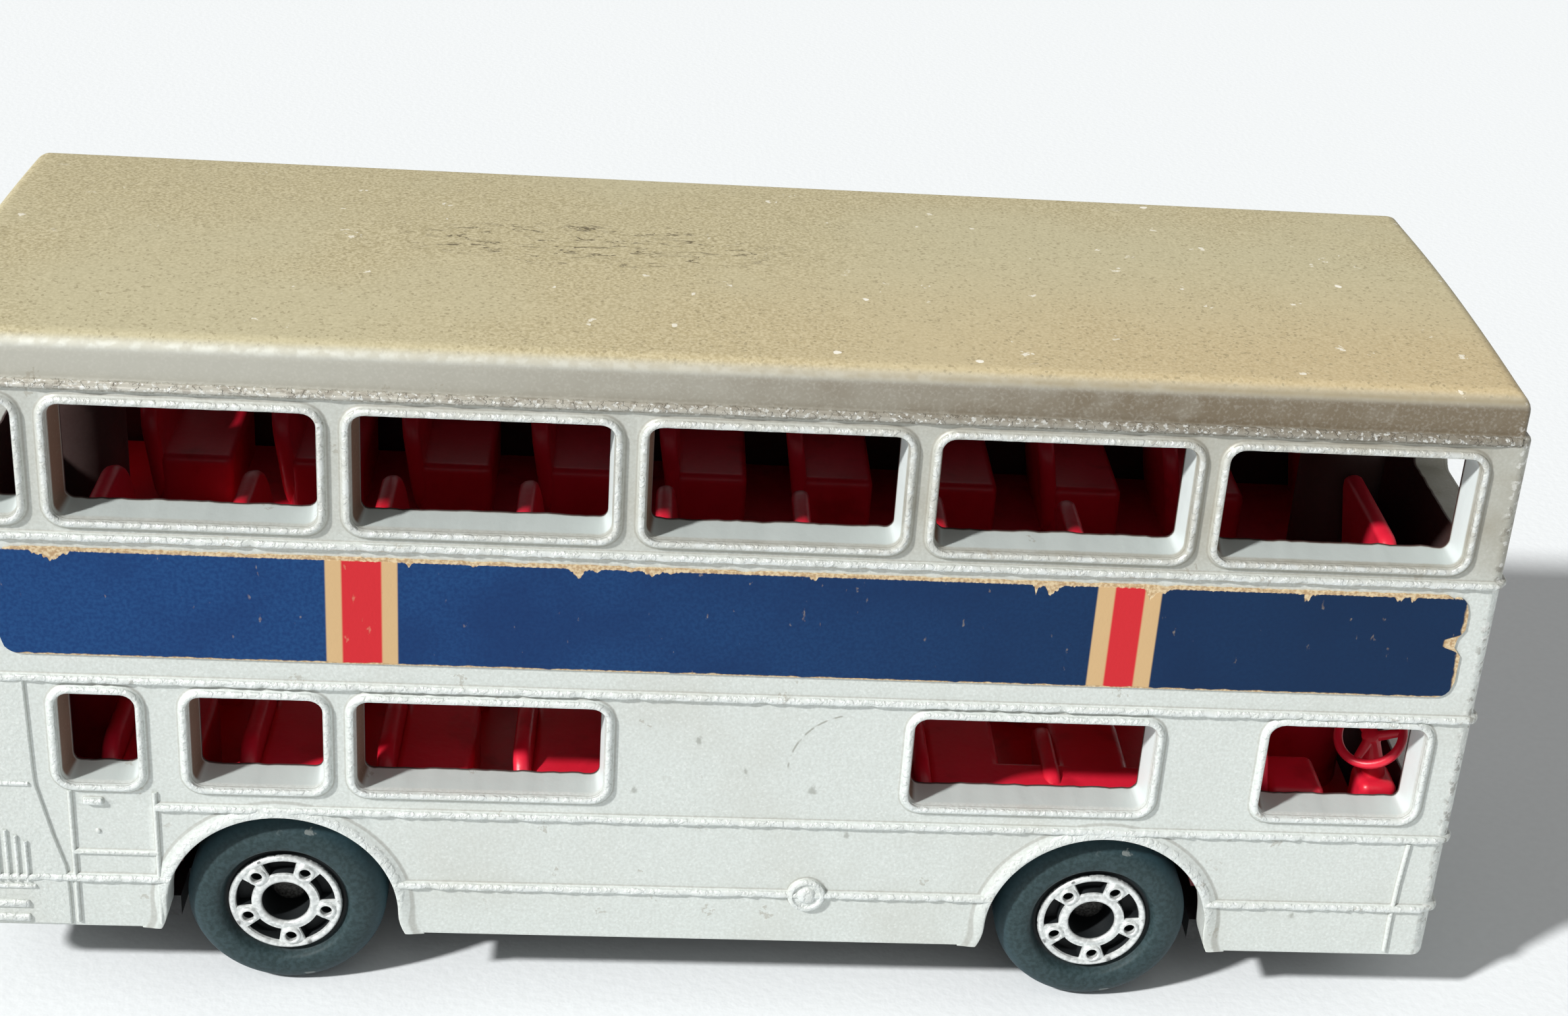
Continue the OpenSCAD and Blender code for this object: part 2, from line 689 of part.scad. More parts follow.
module lower_deck() {
    color("firebrick") difference() {
        union() {
            translate([0, 0, lower_floor_z]) linear_extrude(deck_t) plan(deck_l, deck_w, hollow_r, hollow_r);
            for (i = [cab_rows : seat_rows - 1]) {
                seat(seat_x(i), -1, lower_floor_top, seat_w, lower_back_h, cushion_d);
                if (seat_x(i) > exit_end || seat_x(i) + cushion_d < exit_start)
                    seat(seat_x(i), 1, lower_floor_top, seat_w, lower_back_h, cushion_d);
            }
            for (x = [front_post_x, rear_post_x]) translate([x, 0, lower_floor_z])
                cylinder(r = sleeve_r, h = upper_floor_z - lower_floor_z);
            intersection() {
                for (x = [front_axle_x, rear_axle_x], s = [-1, 1])
                    translate([x, s * (well_y + side_y) / 2 - s * sleeve_t, axle_z]) rotate([90, 0, 0])
                        cylinder(r = well_r + sleeve_t, h = side_y - well_y, center = true);
                translate([-deck_l / 2, -deck_w / 2, lower_floor_z]) cube([deck_l, deck_w, 2 * tyre_r]);
            }
            for (x = [front_axle_x, rear_axle_x], s = [-1, 1])
                translate([x - bore_r, s * (lug_y - lug_t / 2) - lug_t / 2, axle_z + axle_r + keep_gap])
                    cube([2 * bore_r, lug_t, lower_floor_z - axle_z - axle_r - keep_gap + join]);
            for (x = [front_post_x - foot_l, 0, rear_post_x + foot_l], s = [-1, 1])
                translate([x - foot_l / 2, s * (lug_y - lug_t / 2) - lug_t / 2, base_top])
                    cube([foot_l, lug_t, lower_floor_up + join]);
            driver_cab();
        }
        wheel_wells(well_r);
        post_holes();
    }
}

module upper_deck() {
    color("firebrick") difference() {
        union() {
            translate([0, 0, upper_floor_z]) linear_extrude(deck_t) plan(deck_l, deck_w, hollow_r, hollow_r);
            for (i = [0 : seat_rows - 1], s = [-1, 1])
                seat(seat_x(i), s, upper_floor_top, seat_w, upper_back_h, cushion_d);
        }
        post_holes();
    }
}

// Wheel in its own frame: axis along Z, face at the top at zero height
module wheel() {
    face = -dish_depth;
    difference() {
        rotate_extrude() union() {
            translate([bore_r, -tyre_w]) square([tyre_r - shoulder_r - bore_r, tyre_w]);
            translate([tyre_r - 2 * shoulder_r, -tyre_w + shoulder_r])
                square([2 * shoulder_r, tyre_w - 2 * shoulder_r]);
            for (z = [-shoulder_r, -tyre_w + shoulder_r])
                translate([tyre_r - shoulder_r, z]) circle(shoulder_r);
        }
        // Dish with a sloping wall round the hub face
        difference() {
            translate([0, 0, face]) cylinder(r1 = hub_r + dish_flat, r2 = dish_r, h = dish_depth + join);
            translate([0, 0, face - join]) cylinder(r = hub_r, h = hub_rise + join);
        }
        translate([0, 0, -hub_hole_depth]) cylinder(r = hub_hole_r, h = hub_hole_depth + past);
        for (i = [0 : hub_holes - 1]) rotate([0, 0, i * 360 / hub_holes]) {
            translate([hub_circle_r, 0, face - hub_rise]) cylinder(r = hub_dot_r, h = past, $fn = 24);
            rotate([0, 0, 180 / hub_holes - hub_slot_angle]) translate([0, 0, face - hub_rise])
                rotate_extrude(angle = 2 * hub_slot_angle)
                    translate([hub_circle_r - hub_slot_half, 0]) square([2 * hub_slot_half, past]);
        }
        // Hollow back between the middle and the tread
        translate([0, 0, -tyre_w - join]) difference() {
            cylinder(r = tyre_r - shoulder_r, h = tyre_w - dish_depth - web_t + join);
            translate([0, 0, -join]) cylinder(r = hub_hole_r + boss_t, h = tyre_w);
        }
    }
}

module placed_wheel(x, side) {
    color("darkslategray") translate([x, side * wheel_face_y, axle_z]) rotate([-side * 90, 0, 0]) wheel();
}

module axle(x) {
    half = web_face_y + end_play;
    color("silver") translate([x, 0, axle_z]) rotate([90, 0, 0]) {
        cylinder(r = axle_r, h = 2 * half, center = true);
        for (s = [-1, 1]) translate([0, 0, s * (half + axle_head_t / 2)])
            cylinder(r = axle_head_r, h = axle_head_t, center = true);
    }
}

module label(side) {
    y0 = side > 0 ? side_y : -side_y - label_t;
    color("navy") across(y0, y0 + label_t) translate([label_end - label_l, label_bottom])
        round_rect(label_l, label_h, label_r);
}

body_shell();
base_plate();
lower_deck();
upper_deck();
axle(front_axle_x);  // front_axle
axle(rear_axle_x);  // rear_axle
placed_wheel(front_axle_x, -1);  // front_right_wheel
placed_wheel(front_axle_x, 1);  // front_left_wheel
placed_wheel(rear_axle_x, -1);  // rear_right_wheel
placed_wheel(rear_axle_x, 1);  // rear_left_wheel
label(-1);  // right_label
label(1);  // left_label
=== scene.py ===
# %% [markdown]
# A pocket-size die-cast bus, dressed over its engineering model. The packed model comes in first as a
# fixed frame in metres. Everything below is drawn in millimetres, because that is how a toy maker would
# measure it, and is scaled down once when a mesh is made.

# %% Load the frame
import bmesh
import bpy
import math
from mathutils import Matrix, Vector, noise


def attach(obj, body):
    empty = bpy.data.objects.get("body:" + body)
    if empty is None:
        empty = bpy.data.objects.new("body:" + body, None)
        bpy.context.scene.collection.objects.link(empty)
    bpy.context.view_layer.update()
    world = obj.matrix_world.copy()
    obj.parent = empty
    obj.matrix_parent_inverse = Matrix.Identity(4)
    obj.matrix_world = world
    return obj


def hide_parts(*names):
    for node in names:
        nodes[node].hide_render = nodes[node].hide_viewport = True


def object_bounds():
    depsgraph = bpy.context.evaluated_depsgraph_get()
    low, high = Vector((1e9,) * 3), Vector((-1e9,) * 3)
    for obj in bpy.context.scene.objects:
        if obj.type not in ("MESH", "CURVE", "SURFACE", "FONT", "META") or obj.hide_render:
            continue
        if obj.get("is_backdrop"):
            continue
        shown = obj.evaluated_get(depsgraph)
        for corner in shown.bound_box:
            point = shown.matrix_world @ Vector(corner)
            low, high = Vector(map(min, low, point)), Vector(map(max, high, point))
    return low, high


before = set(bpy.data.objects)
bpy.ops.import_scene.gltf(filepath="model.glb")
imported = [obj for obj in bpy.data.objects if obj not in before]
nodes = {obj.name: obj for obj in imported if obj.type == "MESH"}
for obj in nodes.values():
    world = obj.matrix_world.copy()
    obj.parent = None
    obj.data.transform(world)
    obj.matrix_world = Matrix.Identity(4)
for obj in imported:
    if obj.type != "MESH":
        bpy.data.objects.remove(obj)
cad_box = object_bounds()
print("nodes", sorted(nodes))

# %% [markdown]
# The camera stands where the photograph was taken: close to the toy, a little behind its middle, looking
# down at the driver's side. A camera can be placed by eye, but a pose worked out from the edges of the roof
# and windows puts every edge where the picture has it, so the numbers of that fit are used here. The picture
# is a crop, so the lens is shifted to bring the optical centre back to its place.

# %% Camera
IMAGE_W, IMAGE_H = 2380, 1542
FOCAL_PX, CENTRE_PX = 3623.94, (1269.39, 611.80)
YAW, PITCH, ROLL = (math.radians(v) for v in (4.985, 25.044, 4.425))
EYE = Vector((-4.181, -112.070, 81.270)) / 1000
SENSOR_MM, CLIP_NEAR, CLIP_FAR = 36, 0.005, 20

ahead = Vector((math.sin(YAW) * math.cos(PITCH), math.cos(YAW) * math.cos(PITCH), -math.sin(PITCH)))
level = Vector((math.cos(YAW), -math.sin(YAW), 0))
above = level.cross(ahead)
right = math.cos(ROLL) * level + math.sin(ROLL) * above
up = math.cos(ROLL) * above - math.sin(ROLL) * level
eye = bpy.data.cameras.new("eye")
eye.sensor_width = SENSOR_MM
eye.lens = FOCAL_PX * SENSOR_MM / IMAGE_W
eye.shift_x = (IMAGE_W / 2 - CENTRE_PX[0]) / IMAGE_W
eye.shift_y = (CENTRE_PX[1] - IMAGE_H / 2) / IMAGE_W
eye.clip_start, eye.clip_end = CLIP_NEAR, CLIP_FAR
camera = bpy.data.objects.new("eye", eye)
camera.matrix_world = Matrix((
    (right.x, up.x, -ahead.x, EYE.x), (right.y, up.y, -ahead.y, EYE.y),
    (right.z, up.z, -ahead.z, EYE.z), (0, 0, 0, 1)))
bpy.context.scene.collection.objects.link(camera)
bpy.context.scene.camera = camera
print("lens", round(eye.lens, 2), "shift", round(eye.shift_x, 4), round(eye.shift_y, 4))

# %% [markdown]
# The body is one zinc casting. A casting is a closed skin of metal, so the mesh has to be closed as well:
# no face may end in the air. Pieces are therefore made as closed solids from rows of points, and joined or
# cut with Boolean modifiers, as a pattern maker glues strips on a block and carves openings out of it.

# %% Closed solids and how they join
MM = 0.001
TOUCH = 0.01 * MM


def placed(name, bm):
    """A finished bmesh as an object of the scene."""
    mesh = bpy.data.meshes.new(name)
    bm.to_mesh(mesh)
    bm.free()
    obj = bpy.data.objects.new(name, mesh)
    bpy.context.scene.collection.objects.link(obj)
    return obj


def solid(name, rows, ring=False):
    """Closed mesh from rows of points: a capped tube, or a ring whose last row meets the first."""
    bm = bmesh.new()
    verts = [[bm.verts.new(Vector(p) * MM) for p in row] for row in rows]
    pairs = list(zip(verts, verts[1:])) + ([(verts[-1], verts[0])] if ring else [])
    for a, b in pairs:
        for i in range(len(a)):
            j = (i + 1) % len(a)
            bm.faces.new((a[i], a[j], b[j], b[i]))
    if not ring:
        bm.faces.new(verts[0][::-1])
        bm.faces.new(verts[-1])
    bmesh.ops.recalc_face_normals(bm, faces=bm.faces)
    return placed(name, bm)


def joined(name, parts):
    """Several closed solids that don't touch, as one object."""
    bm = bmesh.new()
    for part in parts:
        bm.from_mesh(part.data)
        bpy.data.objects.remove(part)
    return placed(name, bm)


def baked(obj):
    """Turns an object's modifiers into its mesh."""
    mesh = bpy.data.meshes.new_from_object(obj.evaluated_get(bpy.context.evaluated_depsgraph_get()))
    obj.modifiers.clear()
    obj.data = mesh


def combine(body, tool, operation):
    """Adds a solid to the body, or cuts it out of the body."""
    step = body.modifiers.new(operation, "BOOLEAN")
    step.operation, step.object, step.solver = operation, tool, "MANIFOLD"
    baked(body)
    bpy.data.objects.remove(tool)


def layers(parts):
    """Sorts solids into groups in which no two touch, so that each group is one Boolean step."""
    groups = []
    for part in parts:
        corners = [Vector(c) for c in part.bound_box]
        low = [min(c[k] for c in corners) - TOUCH for k in range(3)]
        high = [max(c[k] for c in corners) + TOUCH for k in range(3)]
        for group in groups:
            if all(any(high[k] < g[0][k] or low[k] > g[1][k] for k in range(3)) for g in group):
                group.append((low, high, part))
                break
        else:
            groups.append([(low, high, part)])
    return [[g[2] for g in group] for group in groups]


def open_edges(obj):
    """Edges that don't have exactly two faces. A closed solid has none."""
    bm = bmesh.new()
    bm.from_mesh(obj.data)
    count = sum(not e.is_manifold for e in bm.edges)
    bm.free()
    return count


print("tools ready")

# %% [markdown]
# The block itself. Seen from above the bus is a long rectangle whose corners are tight above the waist and
# rounder at the nose. The wall rises straight, steps in at the gutter, and the roof closes over it with a
# rounded edge and a slight crown. Rows of the same outline, pushed in or out, describe all of that.

# %% Block of the casting
LENGTH, WIDTH, WALL = 75.6, 25.0, 1.7
SKIRT, WAIST, EAVES, CEILING = 3.75, 11.15, 34.1, 34.8
FASCIA_TOP, ROOF_EDGE, ROOF_INSET, CROWN = 35.3, 1.0, 0.3, 0.4
NOSE_R, CORNER_R, TAIL_R, HOLLOW_R = 0.8, 0.6, 1.2, 0.7
TURN_STEPS, END_STEPS, SIDE_STEPS, TIGHTEST_R = 8, 16, 60, 0.25
ROOF_STEPS, ROOF_RINGS = 8, (1, 2.2, 3.6, 5.2, 7, 9, 10.4)


def rounded_loop(corners, turn, steps):
    """Closed loop of four round corners, each a centre, a radius and a first angle, with straights between."""
    arcs, loop = [], []
    for cu, cv, r, start in corners:
        angles = [math.radians(start + 90 * k / turn) for k in range(turn + 1)]
        arcs.append([(cu + r * math.cos(a), cv + r * math.sin(a)) for a in angles])
    for arc, after, count in zip(arcs, arcs[1:] + arcs[:1], steps):
        (a, b), (c, d) = arc[-1], after[0]
        loop += arc + [(a + (c - a) * k / count, b + (d - b) * k / count) for k in range(1, count)]
    return loop


def outline(out, front_r, rear_r, finer=1):
    """Plan of the bus as a closed loop, pushed out or in."""
    corners = []
    for sx, sy, start in ((1, -1, -90), (1, 1, 0), (-1, 1, 90), (-1, -1, 180)):
        r = max((front_r if sx > 0 else rear_r) + out, TIGHTEST_R)
        corners.append((sx * (LENGTH / 2 + out - r), sy * (WIDTH / 2 + out - r), r, start))
    return rounded_loop(corners, TURN_STEPS, (END_STEPS * finer, SIDE_STEPS * finer) * 2)


def crown(y):
    """How far the roof rises at y above its edge."""
    return CROWN * max(0, 1 - (y / (WIDTH / 2 - ROOF_INSET - ROOF_EDGE)) ** 2)


def level_row(out, z, front_r):
    """The outline at one height."""
    return [(x, y, z) for x, y in outline(out, front_r, TAIL_R)]


rows = [level_row(*r) for r in (
    (-0.14, SKIRT, NOSE_R), (-0.04, SKIRT + 0.04, NOSE_R), (0, SKIRT + 0.15, NOSE_R),
    (0, WAIST - 0.05, NOSE_R), (0, WAIST + 0.05, CORNER_R), (0, EAVES - 0.2, CORNER_R),
    (-0.05, EAVES - 0.08, CORNER_R), (-0.25, EAVES + 0.02, CORNER_R), (-0.3, EAVES + 0.15, CORNER_R))]
for k in range(ROOF_STEPS + 1):
    a = math.radians(90 * k / ROOF_STEPS)
    rows.append([(x, y, FASCIA_TOP + ROOF_EDGE * math.sin(a) + crown(y) * math.sin(a))
                 for x, y in outline(-ROOF_INSET - ROOF_EDGE * (1 - math.cos(a)), CORNER_R, TAIL_R)])
for inset in ROOF_RINGS:
    rows.append([(x, y, FASCIA_TOP + ROOF_EDGE + crown(y))
                 for x, y in outline(-ROOF_INSET - ROOF_EDGE - inset, CORNER_R, TAIL_R)])
casting = solid("casting", rows)
hollow = solid("hollow", [[(x, y, z) for x, y in outline(-WALL, HOLLOW_R + WALL, HOLLOW_R + WALL)]
                          for z in (1, CEILING - 0.3, CEILING)])
combine(casting, hollow, "DIFFERENCE")
print("block faces", len(casting.data.polygons), "open edges", open_edges(casting))

# %% [markdown]
# Beads run round the body, and a thin gutter runs under the eaves of each side. On a die-cast toy they are
# half-round with a small fillet, because the metal has to leave the mould. A closed profile swept round the
# same outline gives them, and noise takes a little off their crests, as a worn mould does. On the driver's
# side the waist bead stops at the emergency door, so that stretch is cut off before the bead is joined on.

# %% Beads and gutter
BEAD_OUT, BEAD_WIDE, BEAD_FINER, CRUMB_LOSS, CRUMB_LIFT = 0.3, 1.25, 4, 0.42, 0.06
GUTTER_WIDE, GUTTER_STEPS, GUTTER_FADE = 0.9, 150, 3
LOWER_BEAD, DIVIDER, BELT, GUTTER = 6.83, 18.43, 26.16, 33.92
BEAD_PROFILE = (
    (-0.4, -0.25), (-0.005, -0.25), (0.04, -0.195), (0.12, -0.155), (0.2, -0.135), (0.265, -0.085), (0.29, 0),
    (0.265, 0.085), (0.2, 0.135), (0.12, 0.155), (0.04, 0.195), (-0.005, 0.25), (-0.4, 0.25))


def bead(z, front_r):
    """Bead whose crest is a little crumbly, as it is where a mould is worn."""
    rows = []
    for out, dz in BEAD_PROFILE:
        row, height = [], max(out, 0) / BEAD_OUT
        wall, crest = (outline(push, front_r, TAIL_R, BEAD_FINER) for push in (0, out))
        for (a, b), (x, y) in zip(wall, crest):
            crumb = noise.noise((a * 2.3, b * 2.3, z)) + 0.7 * noise.noise((a * 5.1, b * 5.1, z + 9))
            kept = 1 - height * max(0, CRUMB_LOSS * crumb)
            lift = height * CRUMB_LIFT * crumb
            row.append((a + (x - a) * kept, b + (y - b) * kept, z + dz * BEAD_WIDE + lift))
        rows.append(row)
    return solid("bead", rows, ring=True)


def gutter(side):
    """Worn line under the eaves of one side. It fades out at both ends."""
    rows = []
    x0, x1 = -LENGTH / 2 + TAIL_R, LENGTH / 2 - CORNER_R
    for k in range(GUTTER_STEPS + 1):
        x = x0 + (x1 - x0) * k / GUTTER_STEPS
        fade = min(1, k / GUTTER_FADE + 0.2, (GUTTER_STEPS - k) / GUTTER_FADE + 0.2)
        wear = 0.86 + 0.3 * noise.noise((x * 0.9, side * 3, 1)) + 0.16 * noise.noise((x * 3.1, side, 5))
        worn = fade * wear
        rows.append([(x, side * (WIDTH / 2 + (out * worn if out > 0 else out)), GUTTER + dz * GUTTER_WIDE)
                     for out, dz in BEAD_PROFILE])
    return solid("gutter", rows)


def block(name, x0, x1, y0, y1, z0, z1):
    """Plain box."""
    return solid(name, [[(x0, y0, z), (x1, y0, z), (x1, y1, z), (x0, y1, z)] for z in (z0, z1)])


DOOR_REAR, DOOR_FRONT = -31.65, -27.55
waist = bead(WAIST, NOSE_R)
combine(waist, block("stop", -40, DOOR_FRONT, -14, -11, 10, 13), "DIFFERENCE")
beads = joined("beads", [bead(LOWER_BEAD, NOSE_R), waist, bead(DIVIDER, CORNER_R), bead(BELT, CORNER_R),
                         gutter(-1), gutter(1)])
combine(casting, beads, "UNION")
print("with beads", len(casting.data.polygons), "open edges", open_edges(casting))

# %% [markdown]
# Every window has a raised, rounded rim. A rim is a ring: one small profile carried round a rectangle with
# round corners. The same rectangle, lofted from outside to inside, gives the cutter for the opening. It is
# wider at the outer lip and narrower inside, as a mould has to be, and its inner lower edge is a little
# ragged, where thin metal flash broke off.

# %% Window rims and cutters
RIM_W, OPENING_R, CUT_SPACING, RAGGED, EVEN = 0.5, 0.68, 0.35, 0.09, 0.02
RIM_PROFILE = (
    (-0.12, -0.3), (-0.12, 0.1), (0.0, 0.16), (0.06, 0.225), (0.13, 0.268), (0.2, 0.28), (0.27, 0.268),
    (0.34, 0.22), (0.4, 0.14), (0.46, 0.065), (0.54, 0.018), (0.64, -0.01), (0.64, -0.3))
CUT_PROFILE = ((0.6, 0.16), (0.2, 0.06), (0.13, 0.02), (0.05, 0), (-1.7, -0.26), (-2.4, -0.3))
RIGHT, LEFT, FRONT, REAR = "right", "left", "front", "rear"


def on_wall(wall, u, v, out):
    """Point on one of the four walls: u along it, v up, out from its face."""
    if wall in (RIGHT, LEFT):
        return (u, (-1 if wall == RIGHT else 1) * (WIDTH / 2 + out), v)
    return ((1 if wall == FRONT else -1) * (LENGTH / 2 + out), u, v)


def round_rect(u0, u1, v0, v1, r, grow=0, spacing=1.2, turn=6):
    """Loop of a rectangle with round corners, grown or shrunk, always with the same number of points."""
    nu, nv = max(2, round((u1 - u0) / spacing)), max(2, round((v1 - v0) / spacing))
    u0, u1, v0, v1, r = u0 - grow, u1 + grow, v0 - grow, v1 + grow, max(r + grow, 0.02)
    low_u, high_u, low_v, high_v = u0 + r, u1 - r, v0 + r, v1 - r
    corners = ((high_u, low_v, r, -90), (high_u, high_v, r, 0), (low_u, high_v, r, 90), (low_u, low_v, r, 180))
    return rounded_loop(corners, turn, (nv, nu, nv, nu))


def opening(window):
    """The hole inside a window's rim."""
    wall, u0, u1, v0, v1 = window
    return u0 + RIM_W, u1 - RIM_W, v0 + RIM_W, v1 - RIM_W


def rim(window):
    """Raised ring round a window."""
    rows = []
    for grow, out in RIM_PROFILE:
        loop = round_rect(*opening(window), OPENING_R, grow)
        rows.append([on_wall(window[0], u, v, out) for u, v in loop])
    return solid("rim", rows, ring=True)


def cutter(window):
    """Solid that cuts a window's hole through the wall."""
    rows, sill = [], opening(window)[2]
    for out, grow in CUT_PROFILE:
        row = []
        for u, v in round_rect(*opening(window), OPENING_R, grow, CUT_SPACING):
            rough = RAGGED if out < -1 and v < sill + 0.4 else EVEN
            v += rough * noise.noise((u * 1.7, v * 1.7, out + len(window[0])))
            row.append(on_wall(window[0], u, v, out))
        rows.append(row)
    return solid("cutter", rows)


print("rim profile", len(RIM_PROFILE), "points, cutter", len(CUT_PROFILE), "rows")

# %% [markdown]
# Above, each side has five equal bays and a narrow light at the rear. Below, windows share that pitch where
# there are any, and the door side has two doors with two leaves each. They could be drawn one by one, but a
# list of walls and edges keeps the pitch in one place. The rims are joined on now. The holes wait until all
# other metal is on, so that nothing grows into them.

# %% Windows in place
UPPER, LOWER, DOOR, CAB_TOP = (26.6, 33.5), (11.95, 18.1), (4.55, 18.1), 18.35
FIRST_BAY, BAY_PITCH, BAY_W, BAY_COUNT = 36.0, 13.7, 13.15, 5
DOOR_X, LEAF_W, PANE_Y, PANE_HALF = (26.8, -1.65), 4.6, 6.15, 5.45
bay_ends = [FIRST_BAY - BAY_PITCH * k for k in range(BAY_COUNT)]
bays = [(end - BAY_W, end) for end in bay_ends]
side_upper = bays + [(-36.4, -32.5)]
side_lower = [bays[1], bays[3], (-26.25, -18.8), (-32.5, -27.75)]
windows = [(wall, a, b, *UPPER) for wall in (RIGHT, LEFT) for a, b in side_upper]
windows += [(wall, a, b, *LOWER) for wall in (RIGHT, LEFT) for a, b in side_lower]
windows += [(RIGHT, 27.0, FIRST_BAY, LOWER[0], CAB_TOP)]
windows += [(LEFT, x + k * LEAF_W, x + k * LEAF_W + LEAF_W, *DOOR) for x in DOOR_X for k in (0, 1)]
windows += [(FRONT, s * PANE_Y - PANE_HALF, s * PANE_Y + PANE_HALF, *band)
            for s in (-1, 1) for band in (UPPER, LOWER)]
windows += [(REAR, -8.5, 8.5, *UPPER)]
for group in layers([rim(w) for w in windows]):
    combine(casting, joined("rims", group), "UNION")
print(len(windows), "rims", "open edges", open_edges(casting))

# %% [markdown]
# Small raised details are pads: an outline lifted a fraction of a millimetre, with a fillet at its foot and
# a rounded top. A bump in the paint would be less work, but only real metal catches the light at its edges
# and shows in the outline. Plates, lines and discs are all made in the same way.

# %% Raised pads


def pad(wall, loop_at, height, soft=0.1):
    """Raised pad. loop_at gives its outline for an amount of growth."""
    shape = ((-0.3, soft), (-0.005, soft), (0.03, soft * 0.4), (height * 0.55, 0),
             (height * 0.88, -soft * 0.4), (height, -soft))
    return solid("pad", [[on_wall(wall, u, v, out) for u, v in loop_at(grow)] for out, grow in shape])


def plate(wall, u0, u1, v0, v1, height, r=0.1, soft=0.1):
    """Rectangular pad. Narrow ones get smaller rounds."""
    soft = min(soft, (u1 - u0) / 2.6, (v1 - v0) / 2.6)
    r = max(min(r, (u1 - u0) / 2.2, (v1 - v0) / 2.2), soft + 0.015)
    return pad(wall, lambda grow: round_rect(u0, u1, v0, v1, r, grow), height, soft)


def stripe(wall, points, width, height):
    """Raised line of one width through points."""
    edge = []
    for k, (u, v) in enumerate(points):
        (a, b), (c, d) = points[max(k - 1, 0)], points[min(k + 1, len(points) - 1)]
        n = math.hypot(c - a, d - b)
        edge.append((u, v, -(d - b) / n, (c - a) / n))
    edge += [(u, v, -nu, -nv) for u, v, nu, nv in edge[::-1]]

    def grown(grow):
        half = width / 2 + grow
        return [(u + nu * half, v + nv * half) for u, v, nu, nv in edge]
    return pad(wall, grown, height, min(0.08, width / 2.6))


def circle(r, count):
    """Points round a circle."""
    angles = [2 * math.pi * k / count for k in range(count)]
    return [(r * math.cos(a), r * math.sin(a)) for a in angles]


def disc(wall, u, v, shape, turn=28):
    """Round detail: shape lists out and radius from the foot to the top."""
    return solid("disc", [[on_wall(wall, u + a, v + b, out) for a, b in circle(r, turn)] for out, r in shape])


print("plate, stripe and disc ready")

# %% [markdown]
# The photograph shows the engine panel, its louvres, the emergency door and the filler cap on the driver's
# side. The other sides follow what such a bus has: lamps, bumpers, a grille and an engine cover. Each group is
# listed by its own function, and pads that don't touch are joined to the casting in one step.

# %% Pads on the walls
FILLER = (4.9, LOWER_BEAD)


def engine_panel(wall):
    """Panel with a slanted front edge, upright louvres and cross bars."""
    edge = [(-33.42, 18.3), (-33.3, 13.0), (-33.25, 12.3), (-32.6, 9.4), (-32.08, 7.5), (-32.0, 6.0), (-32.0, 3.95)]
    rear = -LENGTH / 2 + TAIL_R - 0.2
    loop = [(rear, z) for z in (3.95, 8, 12, 18.3)] + edge

    def grown(grow):
        return [(u + (grow if u > rear else 0), v + (grow if v > 18 else -grow if v < 4 else 0)) for u, v in loop]
    parts = [pad(wall, grown, 0.14, 0.07)]
    parts.append(plate(wall, rear + 0.2, -33.5, 12.25, 12.5, 0.26))
    for k in range(6):
        x = -36.3 + k * 0.47
        parts.append(stripe(wall, [(x, 6.6), (x, 10.6 - k * 0.32)], 0.2, 0.28))
    parts.append(plate(wall, rear + 0.2, -33.55, 6.15, 6.4, 0.27))
    parts += [plate(wall, rear + 0.2, -33.95, z, z + 0.42, 0.3) for z in (5.0, 4.15)]
    return parts


def emergency_door():
    """Two upright seams, a cross seam, a handle and a button."""
    parts = [stripe(RIGHT, [(x, 4.1), (x, 12.0)], 0.2, 0.15) for x in (DOOR_REAR, DOOR_FRONT)]
    parts.append(plate(RIGHT, DOOR_REAR - 0.1, DOOR_FRONT + 0.1, 8.25, 8.5, 0.17))
    parts.append(plate(RIGHT, -31.0, -30.05, 11.25, 11.6, 0.28))
    parts.append(disc(RIGHT, -30.4, 9.6, ((-0.3, 0.16), (0, 0.16), (0.06, 0.12), (0.09, 0.06))))
    return parts


def nose_edges():
    """Upright ridge on each side where the rounded nose begins."""
    edge = [(35.72, 10.9), (35.58, 8.5), (35.52, 6.0), (35.56, 4.1)]
    return [stripe(wall, edge, 0.22, 0.17) for wall in (RIGHT, LEFT)]


def filler_cap():
    """Round cap with a groove and a knob."""
    cap = ((-0.3, 1.1), (-0.005, 1.1), (0.04, 1.0), (0.24, 0.95), (0.3, 0.86), (0.3, 0.74), (0.2, 0.66),
           (0.2, 0.5), (0.3, 0.4), (0.34, 0.24), (0.35, 0.06))
    return [disc(RIGHT, *FILLER, cap)]


def nose():
    """Lamps, bumper, a plain panel and grille bars."""
    lamp = ((-0.3, 1.1), (-0.005, 1.1), (0.05, 1.0), (0.24, 0.95), (0.3, 0.88), (0.3, 0.76), (0.2, 0.7),
            (0.23, 0.5), (0.27, 0.28), (0.28, 0.06))
    parts = [disc(FRONT, s * 8.9, 8.95, lamp) for s in (-1, 1)]
    parts.append(plate(FRONT, -10.7, 10.7, 4.15, 5.45, 0.3, 0.3, 0.14))
    parts.append(plate(FRONT, -7.5, 7.5, 20.05, 24.55, 0.16, 0.8))
    parts += [plate(FRONT, -5.2, 5.2, z, z + 0.3, 0.16) for z in (8.0, 8.8, 9.6)]
    return parts


def tail():
    """Engine cover with louvres, lamp blocks and bumper."""
    parts = [plate(REAR, -8.3, 8.3, 7.47, 18.0, 0.16, 0.9)]
    louvres = [LOWER_BEAD + 1.1 * k for k in range(1, 7)]
    parts += [plate(REAR, -7.3, 7.3, z, z + 0.48, 0.3) for z in louvres]
    parts += [plate(REAR, s * 9.8 - 0.5, s * 9.8 + 0.5, 7.93, 10.93, 0.3, 0.3) for s in (-1, 1)]
    parts.append(plate(REAR, -11.2, 11.2, 4.15, 5.45, 0.3, 0.3, 0.14))
    return parts


